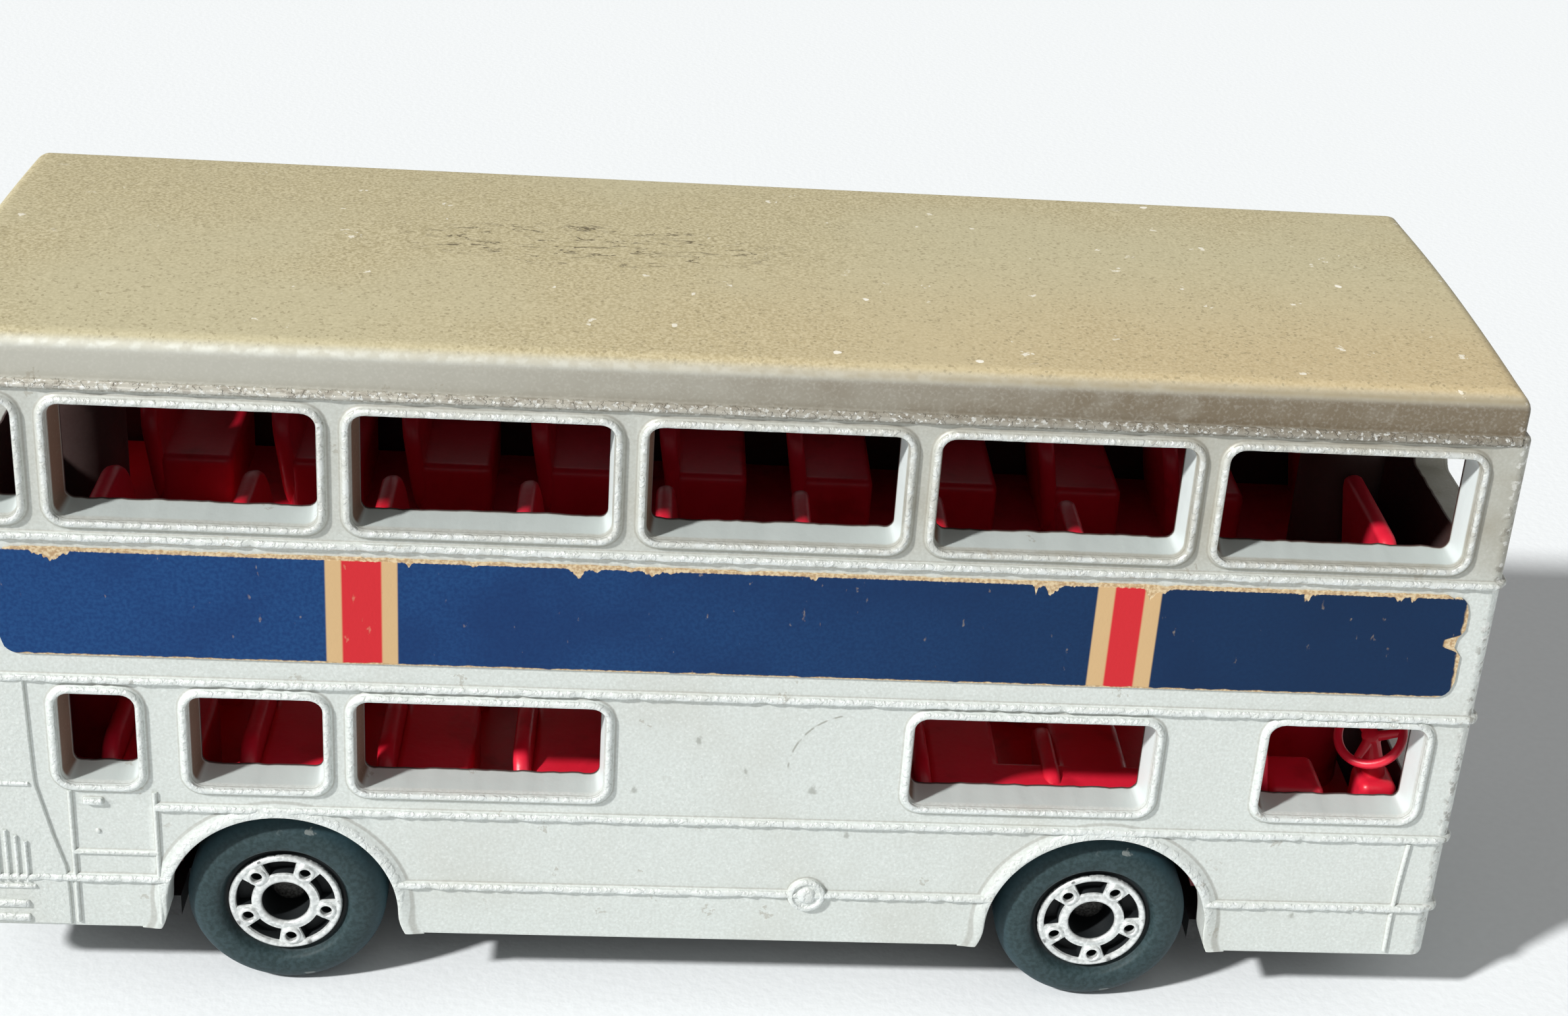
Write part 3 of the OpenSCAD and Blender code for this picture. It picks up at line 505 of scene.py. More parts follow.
pads = engine_panel(RIGHT) + engine_panel(LEFT) + emergency_door()
pads += nose_edges() + filler_cap() + nose() + tail()
pad_count = len(pads)
for group in layers(pads):
    combine(casting, joined("pads", group), "UNION")
print(pad_count, "pads", "open edges", open_edges(casting))

# %% [markdown]
# Wheel arches have a rounded lip that follows the tyre. The lip is half a ring over the axle. Its feet spread
# a little and fade out towards the skirt, below which everything is cut off. Then all openings are cut in as
# few steps as possible: cutters that don't touch go together.

# %% Arches and openings
AXLES, AXLE_Z, ARCH_R = (20.0, -21.5), 5.0, 5.75
LIP_PROFILE = (
    (-0.25, -0.4), (-0.25, 0.2), (0.02, 0.25), (0.1, 0.275), (0.19, 0.28), (0.3, 0.26), (0.42, 0.21),
    (0.55, 0.145), (0.68, 0.085), (0.82, 0.035), (0.98, -0.01), (0.98, -0.4))
ARCH_CUT = ((0.6, 0.14), (0.3, 0.08), (0.22, 0.03), (0.12, 0), (-2.4, 0))
FOOT_FLARE, FOOT_DROP, FOOT_STEPS, ARCH_STEPS = 0.32, 2.6, 8, 64


def arch_loop(wall, x, grow, out):
    """Half circle over the wheel. Its feet spread towards the skirt, and the lip fades out down there."""
    r = ARCH_R + grow
    loop = circle(r, 2 * ARCH_STEPS)[:ARCH_STEPS + 1]
    drops = [FOOT_DROP * k / FOOT_STEPS for k in range(1, FOOT_STEPS + 1)]
    foot = [(r + FOOT_FLARE * (min(d, 1.5) / 1.25) ** 2, -d) for d in drops]
    loop = foot[::-1] + loop + [(-u, v) for u, v in foot]
    points = []
    for k, (u, v) in enumerate(loop):
        fade = min(1, max(0.3, (v + 1.8) / 4.2)) if out > 0 else 1
        lower = grow if k in (0, len(loop) - 1) else 0
        points.append(on_wall(wall, x + u, AXLE_Z + v - lower, out * fade))
    return points


arches = [(wall, x) for wall in (RIGHT, LEFT) for x in AXLES]
lips = [solid("lip", [arch_loop(wall, x, grow, out) for grow, out in LIP_PROFILE], ring=True)
        for wall, x in arches]
combine(casting, joined("lips", lips), "UNION")
openings = [cutter(w) for w in windows]
openings += [solid("arch", [arch_loop(wall, x, grow, out) for out, grow in ARCH_CUT]) for wall, x in arches]
openings.append(block("ground", -45, 45, -16, 16, -3, SKIRT))
for group in layers(openings):
    combine(casting, joined("openings", group), "DIFFERENCE")
print("opened casting faces", len(casting.data.polygons))

# %% [markdown]
# Two posts hang from the roof, go through both decks and are riveted under the base, which is what holds the
# toy together. A post is turned: a list of radii and heights, carried round an upright axis.

# %% Posts
POST_X = (32.8, -33.0)


def lathe(x, y, shape, turn=40):
    """Rows of a turned shape that stands upright: shape lists radius and height."""
    return [[(x + a, y + b, z) for a, b in circle(r, turn)] for r, z in shape]


POST = ((1.38, 3.1), (1.5, 3.16), (1.5, 3.5), (1.42, 3.6), (1.0, 3.6), (1.0, 4.3), (1.6, 4.3), (1.6, 19.7),
        (2.1, 19.7), (2.2, 19.8), (2.2, 33.9), (2.3, 34.3), (2.55, 34.6), (3.0, 34.95))
posts = joined("posts", [solid("post", lathe(x, 0, POST)) for x in POST_X])
combine(casting, posts, "UNION")
print("casting faces", len(casting.data.polygons), "open edges", open_edges(casting))

# %% [markdown]
# Cast metal has soft highlights on its rounds and crisp lines where faces meet. Smooth shading with sharp
# edges picked by angle gives that, and weighted normals keep the large flat walls flat, so that the small
# fillets beside them don't bend their light. The finished casting stands for the plain body of the frame.

# %% Shade the casting
SHARP = 38


def shaded(obj, degrees):
    """Smooth shading, with a crisp line wherever faces meet at more than this angle."""
    obj.data.shade_smooth()
    obj.data.set_sharp_from_angle(angle=math.radians(degrees))
    weigh = obj.modifiers.new("weigh", "WEIGHTED_NORMAL")
    weigh.keep_sharp = True
    baked(obj)


def dress(obj, body, node):
    """Puts a piece on its body in place of a plain node."""
    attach(obj, body)
    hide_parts(node)


shaded(casting, SHARP)
dress(casting, "chassis", "body_shell")
print("casting vertices", len(casting.data.vertices))

# %% [markdown]
# Both decks are red mouldings dropped in from below, with rows of seats. A moulding has no sharp edge, so a
# seat is built from two rounded slabs: an outline lifted row by row that shrinks towards its top makes the
# cushion, and the same thing lying on its side, leaning back by a few degrees, makes the back.

# %% Seats
SEAT_ROWS = [32.4 - 6.85 * k for k in range(10)]
SEAT_Y, SEAT_DEPTH, SUNK, RAKE = (2.9, 10.3), 3.2, 0.3, math.radians(8)
BACK_PROFILE = ((-0.9, -0.32), (-0.83, -0.13), (-0.66, -0.02), (-0.5, 0), (-0.4, 0), (-0.24, -0.02),
                (-0.07, -0.13), (0, -0.32))


def cushion(x0, x1, y0, y1, z0, z1):
    """Upright slab with a rounded top."""
    shape = ((z0, 0), (z1 - 0.5, 0), (z1 - 0.3, -0.03), (z1 - 0.14, -0.12), (z1 - 0.04, -0.26), (z1, -0.45))
    return solid("cushion", [[(x, y, z) for x, y in round_rect(x0, x1, y0, y1, 0.5, grow)] for z, grow in shape])


def seat_back(x, y0, y1, floor_z, height, corner):
    """Slab with round upper corners that leans back."""
    rows, cos, sin = [], math.cos(RAKE), math.sin(RAKE)
    for t, grow in BACK_PROFILE:
        loop = round_rect(y0, y1, -0.6, height, corner, grow)
        rows.append([(x + t * cos - h * sin, y, floor_z + t * sin + h * cos) for y, h in loop])
    return solid("back", rows)


def seat(x, y0, y1, floor_z, height, high, depth=SEAT_DEPTH, corner=2.2):
    """Cushion and back of one seat."""
    base = cushion(x - 0.7, x + depth, y0, y1, floor_z - SUNK, floor_z + high)
    return [base, seat_back(x, y0, y1, floor_z, height, corner)]


print(len(SEAT_ROWS), "seat rows")

# %% [markdown]
# The upper deck is a floor with ten rows of seats. The front row is taller and stands further forward. All
# parts are joined to the floor by Booleans, so that the deck is one closed moulding without inner faces, and
# the holes for the posts are cut last.

# %% Upper deck
DECK_OUT, DECK_T, UPPER_FLOOR = -1.95, 0.8, 19.7
UPPER_BACK, UPPER_CUSHION = 6.3, 3.0
FRONT_ROW_X, FRONT_ROW_Y, FRONT_ROW_BACK = 34.1, (2.2, 10.3), 7.6


def deck_floor(top):
    """Floor plate with slightly rounded edges, which fills the casting."""
    low, soft, r = top - DECK_T, 0.08, HOLLOW_R - DECK_OUT
    shape = ((DECK_OUT - soft, low), (DECK_OUT, low + soft), (DECK_OUT, top - soft), (DECK_OUT - soft, top))
    return solid("deck", [[(x, y, z) for x, y in outline(out, r, r)] for out, z in shape])


def moulding(name, parts, cuts):
    """Joins a deck's parts, cuts it and puts it in its place."""
    deck = parts.pop(0)
    for group in layers(parts):
        combine(deck, joined("parts", group), "UNION")
    for group in layers(cuts):
        combine(deck, joined("cuts", group), "DIFFERENCE")
    shaded(deck, SHARP)
    dress(deck, "chassis", name)
    deck.name = name + "_dressed"
    print(name, "faces", len(deck.data.polygons), "open edges", open_edges(deck))
    return deck


def post_holes(z0, z1):
    """Cutters for the holes that the posts go through."""
    return [solid("hole", lathe(x, 0, ((1.8, z0), (1.8, z1)))) for x in POST_X]


def both_sides(span):
    """A span of y on the right side and on the left side."""
    return ((-span[1], -span[0]), span)


places = both_sides(SEAT_Y)
parts = [deck_floor(UPPER_FLOOR)]
for x in SEAT_ROWS[1:]:
    for y0, y1 in places:
        parts += seat(x, y0, y1, UPPER_FLOOR, UPPER_BACK, UPPER_CUSHION)
for y0, y1 in both_sides(FRONT_ROW_Y):
    parts += seat(FRONT_ROW_X, y0, y1, UPPER_FLOOR, FRONT_ROW_BACK, UPPER_CUSHION, depth=1.5, corner=1.0)
upper_deck = moulding("upper_deck", parts, post_holes(18, 21))

# %% [markdown]
# The driver sits at the front of the lower deck. The steering wheel is a ring on a short column, tilted towards
# its driver. Spokes, hub and column are round bars: circles set square to a path.

# %% Driver's place


def round_bar(points, radii, turn=16):
    """Bar with a round section through points, thick as radii say."""
    rows = []
    for k, point in enumerate(points):
        along = (Vector(points[min(k + 1, len(points) - 1)]) - Vector(points[max(k - 1, 0)])).normalized()
        a = along.orthogonal().normalized()
        b = along.cross(a)
        rows.append([Vector(point) + radii[k] * (a * c + b * s) for c, s in circle(1, turn)])
    return solid("bar", rows)


def steering_wheel(centre, normal, radius, thick):
    """Ring, three spokes, hub and column."""
    centre, normal = Vector(centre), Vector(normal).normalized()
    a = normal.cross(Vector((0, 0, 1))).normalized()
    b = normal.cross(a)

    def at(degrees, r, lift=0.0):
        angle = math.radians(degrees)
        return centre + r * (a * math.cos(angle) + b * math.sin(angle)) + normal * lift
    section = circle(thick, 12)
    ring = solid("ring", [[at(7.5 * k, radius + u, v) for u, v in section] for k in range(48)], ring=True)
    spokes = [round_bar([at(d, 0.1, -0.25), at(d, radius * 0.6, -0.1), at(d, radius, 0)], [0.3, 0.24, 0.2])
              for d in (90, 210, 330)]
    hub = round_bar([centre + normal * 0.12, centre + normal * 0.02, centre - normal * 0.5], [0.3, 0.46, 0.5])
    foot = [Vector((34.6, -8.4, 12.7)), Vector((34.7, -8.4, 11.5))]
    column = round_bar([centre - normal * 0.2, *foot], [0.45, 0.62, 0.75])
    return [ring, *spokes, hub, column]


print("steering wheel ready")

# %% [markdown]
# The lower deck also has sleeves round the posts, boxes over the wheels, ribs that keep the axles down, and
# feet that stand on the base. Over each front wheel lies a flat box as high as the cushions. The wells in
# which the wheels turn are cut out at the end.

# %% Lower deck
LOWER_FLOOR, LOWER_BACK, LOW_BACK, LOWER_CUSHION = 7.2, 5.6, 5.0, 4.5
BOX_X, BOX_Y, BOX_H = (13.9, 26.1), (7.2, 10.27), 4.53
WELL_R, WELL_Y = 5.5, 8.2


def wheel_box(x, side):
    """Round box over a wheel, down to the floor."""
    rows = []
    for y, r in ((7.4, 5.95), (7.45, 6.14), (7.58, 6.26), (7.75, 6.3), (WIDTH / 2 + DECK_OUT, 6.3)):
        start = math.asin((LOWER_FLOOR - DECK_T + 0.1 - AXLE_Z) / r)
        angles = [start + (math.pi - 2 * start) * k / 40 for k in range(41)]
        rows.append([(x + r * math.cos(a), side * y, AXLE_Z + r * math.sin(a)) for a in angles])
    return solid("box", rows)


def wheel_well(x, side):
    """Cutter for the room that a wheel turns in."""
    return solid("well", [[(x + a, side * y, AXLE_Z + b) for a, b in circle(WELL_R, 72)] for y in (WELL_Y, 13)])


wheel_sides = [(x, side) for x in AXLES for side in (-1, 1)]
parts = [deck_floor(LOWER_FLOOR)]
for k, x in enumerate(SEAT_ROWS[2:], 2):
    for y0, y1 in places[:1] if k in (4, 5) else places:
        parts += seat(x, y0, y1, LOWER_FLOOR, LOW_BACK if k == 2 else LOWER_BACK, LOWER_CUSHION)
parts += seat(29.4, -10.3, -6.9, LOWER_FLOOR, 8.2, 5.3, depth=2.3, corner=1.4)
parts.append(cushion(33.7, 35.7, -9.8, -7.4, LOWER_FLOOR - SUNK, 12.5))
parts += steering_wheel((34.05, -8.6, 14.9), (-0.42, -0.45, 0.79), 1.68, 0.25)
parts += [solid("sleeve", lathe(x, 0, ((2.6, 6.5), (2.6, 18.82), (2.52, 18.9)))) for x in POST_X]
parts += [wheel_box(x, side) for x, side in wheel_sides]
parts += [cushion(*BOX_X, y0, y1, LOWER_FLOOR - SUNK, LOWER_FLOOR + BOX_H) for y0, y1 in both_sides(BOX_Y)]
for name, half, z0, spots in (("rib", 0.56, 5.6, AXLES), ("foot", 1.5, 4.3, (29.8, 0, -30.0))):
    for x in spots:
        parts += [block(name, x - half, x + half, s * 7.3 - 0.8, s * 7.3 + 0.8, z0, 6.6) for s in (-1, 1)]
wells = [wheel_well(x, side) for x, side in wheel_sides]
lower_deck = moulding("lower_deck", parts, wells + post_holes(5, 20))

# %% [markdown]
# A wheel is one plastic moulding: tyre and hub together, with silver foil pressed on the hub's raised face.
# Its section is turned round the axle like a pot on a wheel. Five round holes with small bosses and five
# wedge slots are then added and cut. All four wheels are the same part, so the mesh is made once and the
# left wheels are turned round.

# %% Wheel
TYRE_W, FACE_Y, DOT_CIRCLE, DOT_TURN, WHEEL_STEPS = 3.4, 12.1, 2.08, 60.5, 112
WHEEL_SECTION = (
    (0.56, 3.4), (0.56, 2.2), (1.15, 2.2), (1.2, 2.12), (1.2, 0.42), (1.225, 0.31), (1.29, 0.235), (1.39, 0.205),
    (1.5, 0.22), (1.58, 0.265), (1.66, 0.29), (2.5, 0.29), (2.56, 0.265), (2.62, 0.225), (2.69, 0.21), (2.77, 0.225),
    (2.82, 0.275), (2.85, 0.36), (2.87, 0.52), (2.92, 0.57), (3.02, 0.58), (3.1, 0.53), (3.2, 0.34), (3.27, 0.17),
    (3.33, 0.085), (3.42, 0.03), (3.58, 0.0), (3.86, 0.0), (4.12, 0.035), (4.37, 0.125), (4.6, 0.275), (4.79, 0.49),
    (4.92, 0.75), (4.985, 1.0), (5.0, 1.2), (5.0, 2.2), (4.985, 2.4), (4.92, 2.65), (4.79, 2.91), (4.6, 3.125),
    (4.37, 3.275), (4.12, 3.365), (3.86, 3.4), (2.2, 3.4))
SLOT_IN, SLOT_OUT, SLOT_HALF, SLOT_TURN = 1.72, 2.5, 20.5, 36
SLOT_CUT = ((0.1, 0.05), (0.29, 0.03), (0.34, 0), (0.95, -0.05))
BOSS = ((0.5, 0.5), (0.28, 0.5), (0.2, 0.48), (0.155, 0.44), (0.14, 0.39), (0.14, 0.3))
HOLE = ((0.05, 0.37), (0.14, 0.34), (0.18, 0.3), (0.75, 0.27))


def wheel_point(r, degrees, depth):
    """Point of a wheel seen from its face: depth runs inwards from the face."""
    a = math.radians(degrees)
    return (r * math.cos(a), depth - TYRE_W / 2, r * math.sin(a))


def wheel_disc(degrees, shape, turn=28):
    """Round boss or hole on the hub: shape lists depth and radius."""
    c = Vector(wheel_point(DOT_CIRCLE, degrees, TYRE_W / 2))
    return solid("disc", [[c + Vector((a, depth - TYRE_W / 2, b)) for a, b in circle(r, turn)]
                          for depth, r in shape])


def slot_row(degrees, depth, grow):
    """Outline of a wedge slot at one depth."""
    half = SLOT_HALF + math.degrees(grow / DOT_CIRCLE)
    steps = [degrees - half + 2 * half * k / 8 for k in range(9)]
    return ([wheel_point(SLOT_OUT + grow, a, depth) for a in steps]
            + [wheel_point(SLOT_IN - grow, a, depth) for a in steps[::-1]])


wheel = solid("wheel", [[wheel_point(r, 360 * k / WHEEL_STEPS, depth) for r, depth in WHEEL_SECTION]
                        for k in range(WHEEL_STEPS)], ring=True)
dots = [DOT_TURN + 72 * k for k in range(5)]
combine(wheel, joined("bosses", [wheel_disc(a, BOSS) for a in dots]), "UNION")
cuts = [wheel_disc(a, HOLE) for a in dots]
cuts += [solid("slot", [slot_row(a + SLOT_TURN, depth, grow) for depth, grow in SLOT_CUT]) for a in dots]
combine(wheel, joined("cuts", cuts), "DIFFERENCE")
shaded(wheel, SHARP)
print("wheel faces", len(wheel.data.polygons), "open edges", open_edges(wheel))
wheels = []
for end, x in zip(("front", "rear"), AXLES):
    for side, sign in (("right", -1), ("left", 1)):
        name = f"{end}_{side}_wheel"
        piece = bpy.data.objects.new(name + "_dressed", wheel.data.copy())
        piece.location = Vector((x, sign * (FACE_Y - TYRE_W / 2), AXLE_Z)) * MM
        piece.rotation_euler = (0, 0, 0 if sign < 0 else math.pi)
        bpy.context.scene.collection.objects.link(piece)
        dress(piece, name, name)
        wheels.append(piece)
bpy.data.objects.remove(wheel)
print(len(wheels), "wheels")

# %% [markdown]
# A paper label fills the panel between the decks. Play has worn it: its top edge is chipped, and its front end
# is frayed and has a notch. It is a thin closed sheet made in columns, so that each column can end at its own
# height, and the last columns are pulled back where the paper is torn.

# %% Labels
LABEL_X, LABEL_Z, LABEL_R, PAPER, GLUED = (-34.3, 36.3), (19.78, 25.63), 0.9, 0.12, -0.02
LABEL_COLUMNS, LABEL_ROWS, FRAY_X, FRAY_LONG = 420, 8, 34.8, 1.5
NOTCH_Z, NOTCH_HALF, NOTCH_DEEP, SHARP_PAPER = 22.9, 0.3, 0.7, 30


def label_edge(x, side):
    """How far the top of a label is worn down at x."""
    fine = 0.05 * noise.noise((x * 4.3, side, 2)) + 0.03 * noise.noise((x * 11, side, 8))
    chip = max(0, noise.noise((x * 0.55, side * 4, 6)) - 0.12) * max(0, 0.4 + noise.noise((x * 2.1, side, 9)))
    return 0.06 + fine + 0.55 * chip


def label_torn(z, side):
    """How far the front end is torn back at z."""
    notch = NOTCH_DEEP * math.exp(-((z - NOTCH_Z) / NOTCH_HALF) ** 2)
    return 0.08 * noise.noise((z * 1.4, side, 7)) + notch


def label(wall, side):
    """Label of one side, column by column."""
    rows = []
    for k in range(LABEL_COLUMNS + 1):
        x = LABEL_X[0] + (LABEL_X[1] - LABEL_X[0]) * k / LABEL_COLUMNS
        short = max(0, LABEL_R - min(x - LABEL_X[0], LABEL_X[1] - x))
        turn = LABEL_R - math.sqrt(max(0, LABEL_R ** 2 - short ** 2))
        low = LABEL_Z[0] + turn + 0.02 * noise.noise((x * 5, side, 3))
        high = LABEL_Z[1] - turn - label_edge(x, side)
        frayed = max(0, (x - FRAY_X) / FRAY_LONG)
        heights = [low + (high - low) * j / LABEL_ROWS for j in range(LABEL_ROWS + 1)]
        loop = [(x - max(0, frayed * label_torn(z, side)), z) for z in heights]
        face = [on_wall(wall, u, v, PAPER) for u, v in loop]
        back = [on_wall(wall, u, v, GLUED) for u, v in loop[::-1]]
        rows.append(face + back)
    piece = solid(f"{wall}_label_print", rows)
    shaded(piece, SHARP_PAPER)
    dress(piece, "chassis", f"{wall}_label")
    return piece


labels = [label(RIGHT, -1), label(LEFT, 1)]
print("label open edges", [open_edges(p) for p in labels])

# %% [markdown]
# Finishes are written as sums. A wire is one socket of a shader node, and adding or multiplying wires puts
# the Math nodes in place, so a mask reads like a formula. Coordinates come from each piece itself, in
# millimetres, so a chip stays on its edge when a wheel turns.

# %% Shader sums


class Wire:
    """One socket of a shader node. Sums on wires add Math nodes."""

    def __init__(self, tree, socket=None):
        self.tree, self.socket = tree, socket

    def add(self, kind, settings=None, inputs=None, output=0):
        """Any node: its type, its settings, what goes into its sockets, and the socket that is wanted."""
        node = self.tree.nodes.new("ShaderNode" + kind)
        for key, value in (settings or {}).items():
            setattr(node, key, value)
        for key, value in (inputs or {}).items():
            if isinstance(value, Wire):
                self.tree.links.new(value.socket, node.inputs[key])
            else:
                node.inputs[key].default_value = value
        return Wire(self.tree, node.outputs[output])

    def math(self, operation, *values):
        """One Math node."""
        return self.add("Math", {"operation": operation}, dict(enumerate(values)))

    def __add__(self, other): return self.math("ADD", self, other)
    def __radd__(self, other): return self.math("ADD", other, self)
    def __sub__(self, other): return self.math("SUBTRACT", self, other)
    def __rsub__(self, other): return self.math("SUBTRACT", other, self)
    def __mul__(self, other): return self.math("MULTIPLY", self, other)
    def __rmul__(self, other): return self.math("MULTIPLY", other, self)
    def __truediv__(self, other): return self.math("DIVIDE", self, other)
    def __pow__(self, other): return self.math("POWER", self, other)
    def __abs__(self): return self.math("ABSOLUTE", self)
    def larger(self, other): return self.math("MAXIMUM", self, other)
    def smaller(self, other): return self.math("MINIMUM", self, other)

    def rise(self, low, high):
        """0 below low, 1 above high, and a smooth rise between them."""
        return self.add("MapRange", {"interpolation_type": "SMOOTHSTEP"},
                        {"Value": self, "From Min": low, "From Max": high, "To Min": 0.0, "To Max": 1.0})

    def band(self, low, high, soft):
        """1 between low and high, 0 outside."""
        return self.rise(low - soft, low + soft) * (1 - self.rise(high - soft, high + soft))

    def parts(self):
        """The three coordinates of a place."""
        return [self.add("SeparateXYZ", {}, {0: self}, k) for k in range(3)]

    def stretch(self, x, y, z):
        """A place scaled along each axis, so that a noise on it gets longer or shorter."""
        return self.add("VectorMath", {"operation": "MULTIPLY"}, {0: self, 1: (x, y, z)})

    def cloud(self, size, detail=3.0, distortion=0.0):
        """Soft noise whose patches are about this many millimetres across."""
        return self.add("TexNoise", {}, {"Vector": self, "Scale": 1 / size, "Detail": detail,
                                         "Distortion": distortion})

    def cells(self, size):
        """A random number from 0 to 1 for each small cell."""
        colour = self.add("TexVoronoi", {}, {"Vector": self, "Scale": 1 / size}, "Color")
        return colour.add("SeparateColor", {}, {0: colour})

    def blend(self, other, amount):
        """Colour mixed with another colour by a mask."""
        return self.add("Mix", {"data_type": "RGBA"}, {0: amount, 6: self, 7: other}, 2)

    def bump(self, height, depth, strength=1.0):
        """Normals of a relief whose depth is in millimetres."""
        return self.add("Bump", {}, {"Height": height, "Distance": depth * MM, "Strength": strength})


print("wire methods", len([name for name in vars(Wire) if callable(getattr(Wire, name))]))

# %% [markdown]
# A finish is a material with one Principled shader. What is the same all over is set on the shader itself, and
# what changes from place to place is fed in as a wire. Colours are written as a picture editor gives them.

# %% Finishes


def srgb(r, g, b):
    """A colour as a picture editor gives it, in the linear form that shaders use."""
    def linear(c):
        return ((c / 255 + 0.055) / 1.055) ** 2.4 if c > 10 else c / 255 / 12.92
    return linear(r), linear(g), linear(b), 1.0


def finish(name, constants):
    """New material, with its place on the piece in millimetres and a way to feed its shader."""
    material = bpy.data.materials.new(name)
    material.use_nodes = True
    tree = material.node_tree
    shader = tree.nodes["Principled BSDF"]
    for key, value in constants.items():
        shader.inputs[key].default_value = value
    here = Wire(tree).add("TexCoord", {}, {}, "Object")
    place = here.add("VectorMath", {"operation": "SCALE"}, {0: here, "Scale": 1000.0})

    def feed(**wires):
        for key, wire in wires.items():
            tree.links.new(wire.socket, shader.inputs[key.replace("_", " ")])
    return material, place, feed


def paint(obj, material):
    """Makes this the only material of a piece."""
    obj.data.materials.clear()
    obj.data.materials.append(material)


def colour(place, *rgb):
    """A plain colour as a wire, for mixing."""
    return place.add("Mix", {"data_type": "RGBA"}, {0: 0.0, 6: srgb(*rgb), 7: srgb(*rgb)}, 2)


print("finishes ready")

# %% [markdown]
# The body is sprayed with silver paint. On the walls it is a pale, finely grained silver with a few bright
# flakes, and it is made darker and browner from about the belt upwards, most at the front. The reveals of the
# windows are coloured by the way they face, as painted light and shade: flat pale silver on the sills and a
# painted highlight on faces turned to the rear, painted shade with a painted red reflection on faces turned
# to the front. Each of these could be a picture, but masks over coordinates have no seams and no resolution.

# %% Paint on the walls


def wall_silver(place, grain, flake, forward):
    """Silver of the walls, darker from the belt up, with painted light and shade on the reveals."""
    x, y, z = place.parts()
    silver = colour(place, 200, 205, 201).blend(srgb(213, 219, 216), grain.rise(0.25, 0.75))
    silver = silver.blend(srgb(188, 188, 179), place.cloud(9, 3).rise(0.5, 0.75) * 0.35)
    silver = silver.blend(srgb(236, 240, 238), flake * 0.25)
    # Darker and browner from about the belt upwards, most towards the front.
    upper_darkening = z.rise(25.2, 27.5) * (0.45 + 0.5 * forward) * (0.35 + 0.9 * place.cloud(2.5, 4))
    silver = silver.blend(srgb(142, 133, 112), upper_darkening * 0.75)
    # Painted light and shade on the reveals, by the way they face: flat pale silver on the sills, a painted
    # highlight on faces turned to the rear, painted shade with a painted red reflection on faces turned to the
    # front.
    reveal = abs(y).band(10.95, 12.3, 0.1) * z.band(12, 33.4, 0.2) * (1 - abs(x).rise(36, 36.4))
    facing = place.add("TexCoord", {}, {}, "Normal").parts()
    silver = silver.blend(srgb(196, 204, 202), reveal * facing[2].rise(0.5, 0.8))
    silver = silver.blend(srgb(220, 228, 228), reveal * (0 - facing[0]).rise(0.35, 0.8))
    return silver.blend(srgb(112, 76, 54), reveal * facing[0].rise(0.35, 0.8) * 0.9)


print("wall paint ready")

# %% [markdown]
# The roof has yellowed to olive, as old lacquer does where hands and light reach it, and it is made warmer
# and paler towards the front on the near half. The fascia below it is grey at the rear and brown at the front.
# On the rounded edge between them the paint is pale, partly rubbed and partly a painted highlight that dulls
# towards the front. Each is a colour of its own, and three masks by height lay them over the silver later.

# %% Paint on the roof


def roof_olive(place, grain, forward):
    """Yellowed paint of the roof."""
    y = place.parts()[1]
    olive = colour(place, 174, 163, 127).blend(srgb(207, 197, 163), grain.rise(0.3, 0.72))
    olive = olive.blend(srgb(196, 189, 157), place.cloud(14, 2).rise(0.4, 0.65) * 0.6)
    # Warmer and paler towards the front on the near half.
    olive = olive.blend(srgb(200, 178, 138), forward * (1 - y.rise(-12, 4)) * 0.6)
    return olive.blend(srgb(140, 128, 98), place.cells(0.13).rise(0.86, 1) * 0.5)


def fascia_grey(place, grain, forward):
    """Fascia under the roof, browner towards the front."""
    brownness = (forward * (0.6 + place.cloud(1.6, 4))).smaller(1)
    fascia_tone = colour(place, 179, 178, 168).blend(srgb(108, 93, 70), brownness * 0.88)
    return fascia_tone.blend(srgb(206, 205, 196), grain.rise(0.45, 0.75) * 0.18)


def rubbed_edge_and_highlight(place, patch, forward):
    """Pale rounded edge of the roof: rubbed paint and a painted highlight, duller towards the front."""
    # Painted highlight and rubbed paint along the rounded edge, duller towards the front.
    rubbed = colour(place, 198, 197, 184).blend(srgb(215, 216, 206), place.cloud(0.6, 4).rise(0.42, 0.6))
    return rubbed.blend(srgb(156, 142, 112), (forward * (0.7 + patch)).smaller(1) * 0.85)


print("roof paint ready")

# %% [markdown]
# Edges that stand proud have lost their paint. On beads and rims the crests are paler, in patches from wear
# and all along as a painted highlight, and a painted shade lies along their feet. On the gutter and the front
# corner bright zinc and dark specks alternate. How far a point stands out from the walls is known, so that
# distance is the mask, and noise breaks it up.

# %% Worn edges


def bead_wear_highlight_and_shade(place, shade, out, roof):
    """Crests of beads and rims paler from wear and a painted highlight, painted shade at their feet, and the mask of
    the crests.
    """
    proud = out.rise(0.12, 0.27)
    worn = proud * place.cloud(0.5, 4).rise(0.47, 0.58)
    # Worn patches, and a painted highlight on every crest.
    shade = shade.blend(srgb(232, 237, 237), worn * 0.35 + proud * 0.25)
    # Painted shade along the feet of beads and rims.
    foot = out.band(0.012, 0.06, 0.012) * (1 - roof)
    return shade.blend(srgb(112, 104, 90), foot * 0.35), worn


